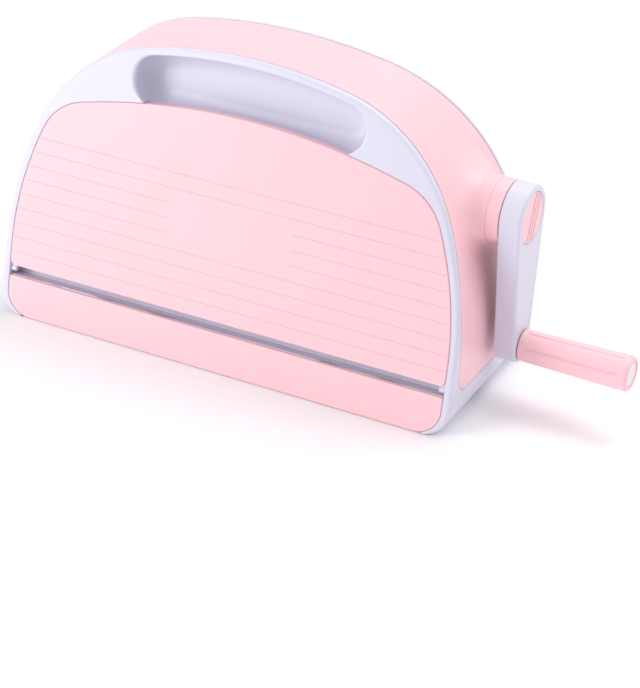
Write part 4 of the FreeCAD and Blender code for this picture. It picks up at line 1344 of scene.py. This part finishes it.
    def _tray_outline(self, heights: Array, bottom_x: Array) -> Outline:
        """Walks the tray's edge through the ends of the skin's rows, so that skin and edge share their points.

        Args:
            heights: heights of the rows, drawn inside the rounded edge.
            bottom_x: x of the lowest row's points.

        Returns:
            The closed outline; its inset by the edge rounding meets the skin.
        """
        width, normals = self._row_ends(heights[1:-1])
        side_inner = Outline(np.stack([width, heights[1:-1]], axis=1), normals)
        upper = self._tray_upper(heights[-1])
        floor = np.stack([bottom_x, np.full(len(bottom_x), heights[0])], axis=1)
        floor_normals = np.tile([0.0, -1.0], (len(bottom_x), 1))
        left = side_inner.mirrored()
        points = np.concatenate([floor, side_inner.points, upper.points, left.points])
        normals = np.concatenate([floor_normals, side_inner.normals, upper.normals, left.normals])
        return Outline(points + self.tray_edge * normals, normals)

    def _build_ears(self) -> None:
        """Makes the two hinge ears: a barrel round the pin that a web joins to the tray, carried along X."""
        drop, depth, radius = self.tray_bottom - self.ear_drop, self.tray_depth * 0.5, self.ear_radius
        turn = np.linspace(math.pi - self.ear_wrap[0], 2.0 * math.pi + self.ear_wrap[1], 24)
        nose = np.stack([depth + radius * np.cos(turn), drop + radius * np.sin(turn)], axis=1)
        top = self.tray_bottom + self.ear_web * self.tray_corner
        loop = np.concatenate([[[nose[0, 0], top]], nose, [[nose[-1, 0], top]]])
        middle = np.array([depth, drop])
        outer = self.tray.half_width - self.ear_inset
        inner, soft = outer - self.ear_length, self.ear_edge
        for end, label in ((1.0, "right"), (-1.0, "left")):
            draft = MeshDraft(self.name(f"ear_{label}"))
            rows = []
            for x, shrink in ((inner, soft), (inner + soft, 0.0), (outer - soft, 0.0), (outer, soft)):
                scaled = middle + (loop - middle) * (1.0 - shrink / radius)
                flat = np.stack([np.full(len(loop), end * x), scaled[:, 1]], axis=1)
                rows.append(FORM.on_face(flat, scaled[:, 0]))
            draft.band(rows)
            place(draft.make((0.0, -1.0, 0.0), self.side), self.name("tray"), Slot.WHITE)

    def build_table(self) -> None:
        """Makes the flat working side of the tray as a plate with a softened edge."""
        arch = self.tray.grown(-self.table_inset)
        low, corner = self.tray_bottom + self.table_inset, self.tray_corner - self.table_inset
        floor = line((0.0, low), (arch.half_width - corner, low), 20)
        bend = arc((arch.half_width - corner, low + corner), corner, -QUARTER_TURN, 0.0, 8)
        side = line((arch.half_width, low + corner), (arch.half_width, arch.straight_top), 4)
        right = chain([floor, bend, side, arch.side_arc(), arch.shoulder_arc(14), arch.crown_arc(count=32)])
        outline = chain([right, right.mirrored()])
        back, soft = self.tray_depth, self.table_edge
        profile = [(0.0, back - self.table_thickness), (0.0, back - soft), (0.3 * soft, back - 0.3 * soft),
                   (soft, back)]
        draft = MeshDraft(self.name("table_plate"))
        draft.band([FORM.on_face(outline.inset(inset), n) for inset, n in profile])
        place(draft.make((0.0, 1.0, 0.0), self.side), self.name("tray"), Slot.WHITE, self.name("tray_table"))

    def build(self) -> None:
        """Makes every piece of this face."""
        self.build_frame()
        self.build_sill()
        self.build_cup()
        self.build_tray()
        self.build_table()


# Crank


@dataclass
class Crank:
    """Collar, arm, cap and grip.

    Args:
        head_radius: round head of the arm.
        end_radius: round lower end of the arm.
        edge: rounding of the arm's outer edge.
        wall: wall of the hollow arm.
        floor: thickness of the arm behind its outer face.
        collar_bore: radius of the collar's bore.
        hub_radius: hub round the shaft, inside the arm.
        hub_bore: radius of its bore.
        boss_radius: boss behind the grip, inside the arm.
        rib_half: half the thickness of the rib between hub and boss.
        cap_radius: radius of the cap.
        cap_gap: gap round the cap, and how far it lies below the arm's face.
        cap_edge: width of the cap's round edge.
        seat_depth: depth of the cap's seat.
        seat_edge: softened edge of that seat.
        cap_grooves: grooves across the cap.
        cap_pitch: distance between them.
        cap_shift: how far their middle lies beside the cap's.
        cap_turn: how far they tilt from upright, radians.
        cap_groove_half: half their width.
        cap_groove_flat: share of their width that is flat.
        cap_groove_depth: their depth.
        cap_groove_end: how far inside the cap's face they end.
        cap_groove_fade: length over which they run out.
        grip_root: radius of the grip beside the arm.
        grip_tip: radius of its taper at the outer end.
        grip_corner: rounding of the outer end.
        grip_bore: radius of the bore for the spindle.
        grip_grooves: grooves along the grip.
        grip_groove_width: width of their bell curve.
        grip_groove_depth: their depth.
        grip_groove_ends: how far from the grip's inner and outer end they start.
        grip_groove_fade: length over which they run out.
        grip_turn: how far the first of them is turned towards the front, radians.
        grip_reach: how far the grip's skin reaches over the spindle's flange.
        disc_seat: radius of the seat for the end disc.
        disc_radius: radius of the end disc.
        disc_dome: height of its dome.
        axis: height of the crank's axis, from the frame.
        grip_axis: height of the grip's axis, from the frame.
        inner: x of the arm's inner side, from the frame.
        outer: x of the arm's outer face, from the frame.
    """

    head_radius: float = 20.8
    end_radius: float = 12.0
    edge: float = 1.6
    wall: float = 3.0
    floor: float = 5.5
    collar_bore: float = 12.0
    hub_radius: float = 11.0
    hub_bore: float = 6.2
    boss_radius: float = 8.0
    rib_half: float = 1.25
    cap_radius: float = 16.4
    cap_gap: float = 0.2
    cap_edge: float = 0.5
    seat_depth: float = 2.6
    seat_edge: float = 0.3
    cap_grooves: int = 3
    cap_pitch: float = 4.2
    cap_shift: float = 2.2
    cap_turn: float = math.radians(20.0)
    cap_groove_half: float = 0.6
    cap_groove_flat: float = 0.8
    cap_groove_depth: float = 1.8
    cap_groove_end: float = 0.2
    cap_groove_fade: float = 0.8
    grip_root: float = 10.2
    grip_tip: float = 11.5
    grip_corner: float = 2.2
    grip_bore: float = 4.6
    grip_grooves: int = 6
    grip_groove_width: float = 0.7
    grip_groove_depth: float = 0.85
    grip_groove_ends: tuple[float, float] = (3.0, 4.0)
    grip_groove_fade: float = 2.0
    grip_turn: float = math.radians(12.6)
    grip_reach: float = 0.7
    disc_seat: float = 8.44
    disc_radius: float = 8.36
    disc_dome: float = 0.35
    axis: float = field(init=False)
    grip_axis: float = field(init=False)
    inner: float = field(init=False)
    outer: float = field(init=False)

    def __post_init__(self) -> None:
        """Reads the axes and the arm's faces from the frame."""
        low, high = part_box("crank_arm")
        self.axis = node_centre("crank_cap").z
        self.grip_axis = node_centre("grip_end_cap").z
        self.inner, self.outer = low.x / MM, high.x / MM

    def build_collar(self) -> None:
        """Makes the ring between boss and arm."""
        low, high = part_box("crank_collar")
        start, end, radius, bore = low.x / MM, high.x / MM, self.head_radius, self.collar_bore
        profile = np.array([[start + 0.05, bore], [start + 0.05, radius - 0.25], [start + 0.12, radius - 0.08],
                            [start + 0.3, radius], [end - 0.7, radius], [end - 0.3, radius - 0.15],
                            [end - 0.05, radius - 0.5], [end, radius - 0.9], [end, bore]])
        draft = MeshDraft("collar_ring")
        points = turned(profile, self.axis, 128)
        draft.grid(np.concatenate([points, points[:1]]), closed=True)
        place(draft.make((1.0, 0.0, 0.0)), "case", Slot.PINK, "crank_collar")

    def _arm_outline(self, count: int = 40) -> Outline:
        """Walks the arm in (y, z): round head, tangent sides, round end.

        Args:
            count: steps round the lower end, and half those round the head.

        Returns:
            The closed outline.
        """
        span = self.axis - self.grip_axis
        tilt = math.asin((self.head_radius - self.end_radius) / span)
        head = arc((0.0, self.axis), self.head_radius, -tilt, math.pi + tilt, 2 * count + 1)
        end = arc((0.0, self.grip_axis), self.end_radius, math.pi + tilt, 2.0 * math.pi - tilt, count + 1)
        return Outline(np.concatenate([head.points, end.points]), np.concatenate([head.normals, end.normals]))

    @staticmethod
    def _at(flat: Array, x: float) -> Array:
        """Takes (y, z) to a point at x."""
        return np.stack([np.full(len(flat), x), flat[:, 0], flat[:, 1]], axis=1)

    def build_arm(self) -> None:
        """Makes the hollow arm: rounded edge, seat for the cap, ribs and bosses at the back."""
        outline = self._arm_outline()
        draft = MeshDraft("arm_skin")
        hollow = self.outer - self.floor
        profile = [(self.wall, hollow), (self.wall, self.inner), (0.5, self.inner), (0.15, self.inner + 0.15),
                   (0.0, self.inner + 0.5)]
        profile += [(inset, self.outer - depth) for inset, depth in zip(*quarter(self.edge, 8))][::-1]
        draft.band([self._at(outline.inset(inset), x) for inset, x in profile], last=False)
        self._add_cap_seat(draft, outline.inset(self.edge))
        place(draft.make((1.0, 0.0, 0.0)), "crank", Slot.WHITE, "crank_arm")
        self._build_arm_bosses(hollow)

    def _add_cap_seat(self, draft: MeshDraft, edge: Array) -> None:
        """Adds the arm's outer face in two halves round the seat of the cap, and the seat itself.

        Args:
            draft: where to add.
            edge: the face's outer loop in (y, z).
        """
        radius, seat = self.cap_radius + self.cap_gap, self.outer - self.seat_depth
        turn = np.linspace(0.0, 2.0 * math.pi, 97)
        circle = np.stack([np.sin(turn), np.cos(turn)], axis=1)
        ring, lip = (np.array([0.0, self.axis]) + r * circle for r in (radius, radius + self.seat_edge))
        top = np.array([[0.0, self.axis + self.head_radius - self.edge]])
        foot = np.array([[0.0, self.grip_axis - self.end_radius + self.edge]])
        for sign in (1.0, -1.0):
            side = edge[edge[:, 0] * sign > 1.0e-6]
            side = side[np.argsort(-side[:, 1])]
            half = lip[:49] * np.array([sign, 1.0]) if sign > 0 else lip[48:][::-1]
            loop = np.concatenate([top, side, foot, half[::-1]])
            draft.flat(self._at(loop, self.outer))
        draft.grid(np.stack([self._at(lip[:-1], self.outer), self._at(ring[:-1], self.outer - self.seat_edge),
                             self._at(ring[:-1], seat)]), closed=True)
        draft.flat(self._at(ring[:-1], seat))

    def _build_arm_bosses(self, hollow: float) -> None:
        """Makes the hub, the grip boss and the rib inside the arm.

        Args:
            hollow: x of the hollow's floor.
        """
        bosses = (("arm_hub", self.axis, self.hub_radius, self.hub_bore),
                  ("arm_grip_boss", self.grip_axis, self.boss_radius, 0.0))
        for name, height, radius, bore in bosses:
            draft = MeshDraft(name)
            hole = bore + AXIS_RADIUS
            profile = np.array([[hollow + 0.5, hole], [hollow + 0.5, radius + 0.6], [hollow - 0.3, radius],
                                [self.inner + 0.4, radius], [self.inner + 0.05, radius - 0.4],
                                [self.inner + 0.05, hole]])
            if bore > 0.0:
                profile = np.concatenate([profile, profile[:1]])
            draft.grid(turned(profile, height, 72), closed=True)
            place(draft.make((-1.0, 0.0, 0.0)), "crank", Slot.WHITE)
        draft = MeshDraft("arm_rib")
        across = self.rib_half * np.array([-1.0, -1.0, -0.72, 0.72, 1.0, 1.0])
        x = np.array([hollow + 0.3, self.inner + 0.6, self.inner + 0.2])
        x = np.concatenate([x, x[::-1]])
        ends = (self.grip_axis + self.boss_radius - 0.5, self.axis - self.hub_radius + 0.5)
        draft.band([np.stack([x, across, np.full(len(x), z)], axis=1) for z in ends])
        place(draft.make((-1.0, 0.0, 0.0)), "crank", Slot.WHITE)

    def build_cap(self) -> None:
        """Makes the cap: chords across the disc as rows, sunk where a groove runs, in a round edge."""
        radius, face = self.cap_radius - self.cap_edge, self.outer - self.cap_gap
        middle = (self.cap_grooves - 1) / 2.0
        centres = self.cap_shift + (np.arange(self.cap_grooves) - middle) * self.cap_pitch
        steps = np.array([-1.0, -self.cap_groove_flat, self.cap_groove_flat, 1.0]) * self.cap_groove_half
        grooves = (centres[:, None] + steps).ravel()
        sunk = np.tile([0.0, 1.0, 1.0, 0.0], self.cap_grooves) * self.cap_groove_depth
        plain = radius * np.sin(np.linspace(-QUARTER_TURN, QUARTER_TURN, 41))
        clear = np.abs(plain[:, None] - centres[None, :]).min(axis=1) > self.cap_groove_half
        across = np.concatenate([plain[clear], grooves])
        depth = np.concatenate([np.zeros(clear.sum()), sunk])
        order = np.argsort(across)
        across, depth = across[order], depth[order]
        chord = np.sqrt(np.maximum(radius ** 2 - across ** 2, 0.0))
        share = np.sin(np.linspace(-QUARTER_TURN, QUARTER_TURN, 33))
        along = chord[:, None] * share
        inside = radius - self.cap_groove_end - np.hypot(across[:, None], along)
        fade = smooth_step(inside / self.cap_groove_fade)
        sine, cosine = math.sin(self.cap_turn), math.cos(self.cap_turn)
        x = face - depth[:, None] * fade
        y = across[:, None] * cosine + along * sine
        z = self.axis - across[:, None] * sine + along * cosine
        draft = MeshDraft("cap_disc")
        draft.grid(np.stack([x, y, z], axis=-1))
        profile = np.array([[face, radius], [face - 0.08, radius + 0.25], [face - 0.3, radius + 0.42],
                            [face - 0.6, radius + 0.48], [face - 2.2, radius + 0.48]])
        rim = np.concatenate([[across, chord], np.stack([across, -chord])[:, -2:0:-1]], axis=1) / radius
        round_y, round_z = rim[0] * cosine + rim[1] * sine, rim[1] * cosine - rim[0] * sine
        rows = [np.stack([np.full(rim.shape[1], at), r * round_y, self.axis + r * round_z], axis=1)
                for at, r in profile]
        draft.band(rows, first=False)
        place(draft.make((1.0, 0.0, 0.0)), "crank", Slot.PINK, "crank_cap")

    def build_grip(self) -> None:
        """Makes the grip: a taper turned about its axis, sunk along its grooves by a bell curve of the angle."""
        low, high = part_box("grip")
        start, end = low.x / MM - self.grip_reach, high.x / MM
        cap_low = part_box("grip_end_cap")[0].x / MM
        root, seat, bore = self.grip_root, self.disc_seat, self.grip_bore
        body = np.linspace(start + 0.8, end - self.grip_corner, 60)
        slope = root + (self.grip_tip - root) * (body - start) / (end - start)
        before_end, drop = quarter(self.grip_corner, 9)
        profile = np.concatenate([
            [[start, bore], [start, root - 0.8], [start + 0.1, root - 0.4], [start + 0.35, root - 0.12]],
            np.stack([body, slope], axis=1),
            np.stack([end - before_end[1:], slope[-1] - drop[1:]], axis=1),
            [[end, seat + 0.15], [end - 0.1, seat], [cap_low, seat], [cap_low, bore], [start, bore]]])
        count = 240
        points = turned(profile, 0.0, count)
        angle = np.linspace(0.0, 2.0 * math.pi, count, endpoint=False)
        spacing = 2.0 * math.pi / self.grip_grooves
        off = (angle + self.grip_turn + 0.5 * spacing) % spacing - 0.5 * spacing
        bell = np.exp(-np.square(off * root / self.grip_groove_width))
        first, last = start + self.grip_groove_ends[0], end - self.grip_groove_ends[1]
        window = smooth_step((profile[:, 0] - first) / self.grip_groove_fade)
        window *= smooth_step((last - profile[:, 0]) / self.grip_groove_fade)
        outside = profile[:, 1] > root - 0.5
        sink = 1.0 - (window * outside)[:, None] * bell * self.grip_groove_depth / np.maximum(profile[:, 1:], 1.0)
        points[..., 1:] *= sink[..., None]
        points[..., 2] += self.grip_axis
        draft = MeshDraft("grip_skin")
        draft.grid(points, closed=True)
        place(draft.make((1.0, 0.0, 0.0)), "grip", Slot.PINK, "grip")

    def build_grip_end(self) -> None:
        """Makes the cream disc: a shallow dome with a soft edge."""
        low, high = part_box("grip_end_cap")
        start, end, radius = low.x / MM, high.x / MM, self.disc_radius
        share = np.linspace(1.0, 0.0, 14)
        dome = np.stack([end - self.disc_dome * share ** 2, (radius - 0.5) * share + AXIS_RADIUS], axis=1)
        rim = np.array([[start + 0.05, AXIS_RADIUS], [start + 0.05, radius], [end - 0.9, radius],
                        [end - 0.55, radius - 0.12]])
        draft = MeshDraft("grip_end_disc")
        draft.grid(turned(np.concatenate([rim, dome]), self.grip_axis, 96), closed=True)
        place(draft.make((1.0, 0.0, 0.0)), "grip", Slot.CREAM, "grip_end_cap")

    def build(self) -> None:
        """Makes every piece of the crank."""
        self.build_collar()
        self.build_arm()
        self.build_cap()
        self.build_grip()
        self.build_grip_end()


# Inner works


@dataclass
class InnerWorks:
    """Rollers, plates, gears and fasteners inside the case.

    Args:
        roller_radius: radius of the rollers.
        roller_chamfer: chamfer at their ends.
        journal_radius: radius of their journals.
        journal_chamfer: chamfer at the ends of the journals.
        plate_gap: gap between a roller and a side plate.
    """

    roller_radius: float = 11.0
    roller_chamfer: float = 0.8
    journal_radius: float = 6.0
    journal_chamfer: float = 0.6
    plate_gap: float = 1.5

    def build_rollers(self) -> None:
        """Turns both rollers with chamfered ends and journals."""
        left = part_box("left_side_plate")[1].x / MM + self.plate_gap
        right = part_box("right_side_plate")[0].x / MM - self.plate_gap
        r, j, cut, bevel = self.roller_radius, self.journal_radius, self.roller_chamfer, self.journal_chamfer
        for node, body in (("upper_roller", "upper_feed"), ("lower_roller", "lower_feed")):
            low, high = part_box(node)
            start, end = low.x / MM, high.x / MM
            profile = np.array([[start, AXIS_RADIUS], [start, j - bevel], [start + bevel, j], [left, j],
                                [left, r - cut], [left + cut, r], [right - cut, r], [right, r - cut],
                                [right, j], [end - bevel, j], [end, j - bevel], [end, AXIS_RADIUS]])
            draft = MeshDraft(f"{node}_turned")
            draft.grid(turned(profile, node_centre(node).z, 96), closed=True)
            place(draft.make((1.0, 0.0, 0.0)), body, Slot.STEEL, node)

    def dress_nodes(self) -> None:
        """Gives each CAD node that still shows the finish of its slot."""
        for entry in frame["record"]["subparts"]:
            piece = frame["nodes"][entry["node"]]
            material = FINISHES[Slot(entry["material_slot"])].material()
            if len(piece.material_slots) == 0:
                piece.data.materials.append(material)
            for slot in piece.material_slots:
                slot.material = material

    def build(self) -> None:
        """Makes the rollers and dresses the rest."""
        self.build_rollers()
        self.dress_nodes()


# Studio


@dataclass(frozen=True)
class Lamp:
    """A square soft lamp.

    Args:
        name: lamp name.
        place_at: its place in metres.
        size: its side in metres.
        power: its power in watts.
    """

    name: str
    place_at: tuple[float, float, float]
    size: float
    power: float


@dataclass
class Studio:
    """Floor, soft light, white surroundings and the camera.

    Args:
        position: camera place in metres.
        azimuth: camera turn to the right of the front, degrees.
        elevation: camera height over the horizon, degrees.
        roll: how far the camera is turned about its line of sight, degrees.
        focal_pixels: focal length in pixels of the picture.
        frame_width: width of the picture in pixels.
        sensor: width of the camera's sensor in millimetres.
        clip_start: nearest distance the camera shows, metres.
        ambient: strength of the surroundings' light.
        ambient_tint: its colour.
        floor_fade: where the floor starts and ends going over to white, metres from the object.
        floor_half: half the floor's side, millimetres.
        floor_drop: how far the floor lies under the ground plane, millimetres.
        lamps: the soft lamps.
        lamp_target: what they look at, metres.
    """

    position: tuple[float, float, float] = (0.63992149, -1.22844612, 0.78124996)
    azimuth: float = 25.96721
    elevation: float = 29.75925
    roll: float = 2.25
    focal_pixels: float = 2409.19774
    frame_width: float = 640.0
    sensor: float = 36.0
    clip_start: float = 0.05
    ambient: float = 0.58
    ambient_tint: tuple[float, float, float] = (0.96, 0.96, 1.0)
    floor_fade: tuple[float, float] = (0.55, 1.3)
    floor_half: float = 6000.0
    floor_drop: float = 0.1
    lamps: tuple[Lamp, ...] = (
        Lamp("back_panel", (0.2, 0.7, 1.5), 1.0, 12.0),
        Lamp("front_panel", (-1.3, -1.7, 1.1), 1.0, 13.0),
        Lamp("near_panel", (-0.72, -0.86, 0.22), 0.6, 4.3),
        Lamp("side_panel", (1.2, 0.2, 1.3), 0.9, 6.5),
    )
    lamp_target: tuple[float, float, float] = (0.0, 0.0, 0.1)

    @staticmethod
    def _seen(nodes: Nodes, links: Links) -> Socket:
        """Tells apart the rays that show the surroundings and those that light the object.

        Args:
            nodes: nodes to add to.
            links: links to add to.

        Returns:
            1 for rays from the camera, in reflections and through glass, and 0 for light on the object.
        """
        path = nodes.new("ShaderNodeLightPath")
        seen = path.outputs["Is Camera Ray"]
        for name in ("Is Glossy Ray", "Is Transmission Ray"):
            either = nodes.new("ShaderNodeMath")
            either.operation = "MAXIMUM"
            links.new(seen, either.inputs[0])
            links.new(path.outputs[name], either.inputs[1])
            seen = either.outputs["Value"]
        return seen

    def _whiten_far(self, material: bpy.types.Material) -> None:
        """Lets the floor go over to the white background away from the object, and keep its shadow near it.

        Args:
            material: the floor's material.
        """
        nodes, links = material.node_tree.nodes, material.node_tree.links
        away = nodes.new("ShaderNodeVectorMath")
        away.operation = "LENGTH"
        links.new(nodes.new("ShaderNodeTexCoord").outputs["Object"], away.inputs[0])
        share = nodes.new("ShaderNodeMapRange")
        share.interpolation_type = "SMOOTHSTEP"
        share.inputs["From Min"].default_value, share.inputs["From Max"].default_value = self.floor_fade
        links.new(away.outputs["Value"], share.inputs["Value"])
        both = nodes.new("ShaderNodeMath")
        both.operation = "MULTIPLY"
        links.new(share.outputs["Result"], both.inputs[0])
        links.new(self._seen(nodes, links), both.inputs[1])
        white, mix = nodes.new("ShaderNodeEmission"), nodes.new("ShaderNodeMixShader")
        links.new(both.outputs["Value"], mix.inputs["Fac"])
        links.new(nodes["Principled BSDF"].outputs["BSDF"], mix.inputs[1])
        links.new(white.outputs["Emission"], mix.inputs[2])
        links.new(mix.outputs["Shader"], nodes["Material Output"].inputs["Surface"])

    def build_floor(self) -> None:
        """Makes a plain pale floor."""
        draft = MeshDraft("floor")
        half, height = self.floor_half, -self.floor_drop
        draft.flat(np.array([[-half, -half, height], [half, -half, height], [half, half, height],
                             [-half, half, height]]))
        floor = draft.make((0.0, 0.0, 1.0))
        floor.modifiers.clear()
        material = FLOOR_FINISH.material()
        self._whiten_far(material)
        floor.data.materials.append(material)

    def build_world(self) -> None:
        """Makes the surroundings: white to the eye and in reflections, a softer light on the object."""
        world = bpy.data.worlds.new("surroundings")
        bpy.context.scene.world = world
        world.use_nodes = True
        nodes, links = world.node_tree.nodes, world.node_tree.links
        nodes.clear()
        soft, white = nodes.new("ShaderNodeBackground"), nodes.new("ShaderNodeBackground")
        soft.inputs["Color"].default_value = (*self.ambient_tint, 1.0)
        soft.inputs["Strength"].default_value = self.ambient
        white.inputs["Color"].default_value = (1.0, 1.0, 1.0, 1.0)
        white.inputs["Strength"].default_value = 1.0
        mix, output = nodes.new("ShaderNodeMixShader"), nodes.new("ShaderNodeOutputWorld")
        links.new(self._seen(nodes, links), mix.inputs["Fac"])
        links.new(soft.outputs["Background"], mix.inputs[1])
        links.new(white.outputs["Background"], mix.inputs[2])
        links.new(mix.outputs["Shader"], output.inputs["Surface"])

    def add_lamp(self, lamp: Lamp) -> None:
        """Adds a lamp that looks at the target.

        Args:
            lamp: its place and strength.
        """
        light = bpy.data.lights.new(lamp.name, "AREA")
        light.size = lamp.size
        light.energy = lamp.power
        holder = bpy.data.objects.new(lamp.name, light)
        holder.location = lamp.place_at
        holder.visible_camera = False
        aim = Vector(self.lamp_target) - Vector(lamp.place_at)
        holder.rotation_euler = aim.to_track_quat("-Z", "Y").to_euler()
        bpy.context.scene.collection.objects.link(holder)

    def build_camera(self) -> None:
        """Makes the camera at the photograph's angle, turned by its roll."""
        turn, rise, roll = (math.radians(v) for v in (self.azimuth, self.elevation, self.roll))
        ahead = Vector((-math.sin(turn) * math.cos(rise), math.cos(turn) * math.cos(rise), -math.sin(rise)))
        level = Vector((math.cos(turn), math.sin(turn), 0.0))
        up = level.cross(ahead)
        right = math.cos(roll) * level + math.sin(roll) * up
        top = -math.sin(roll) * level + math.cos(roll) * up
        data = bpy.data.cameras.new("photo_camera")
        data.sensor_fit = "HORIZONTAL"
        data.sensor_width = self.sensor
        data.lens = self.focal_pixels / self.frame_width * self.sensor
        data.clip_start = self.clip_start
        camera = bpy.data.objects.new("photo_camera", data)
        axes = Matrix((right, top, -ahead)).transposed().to_4x4()
        camera.matrix_world = Matrix.Translation(self.position) @ axes
        bpy.context.scene.collection.objects.link(camera)
        bpy.context.scene.camera = camera

    def build(self) -> None:
        """Makes the studio."""
        self.build_floor()
        self.build_world()
        for lamp in self.lamps:
            self.add_lamp(lamp)
        self.build_camera()
        bpy.context.scene.view_settings.view_transform = "Standard"


def main() -> None:
    """Builds the machine piece by piece, then the studio."""
    logging.basicConfig(level=logging.INFO, format="%(message)s")
    OuterShell().build()
    BasePan().build()
    for side in Side:
        FaceSet(side).build()
    Crank().build()
    InnerWorks().build()
    Studio().build()


if __name__ == "__main__":
    main()
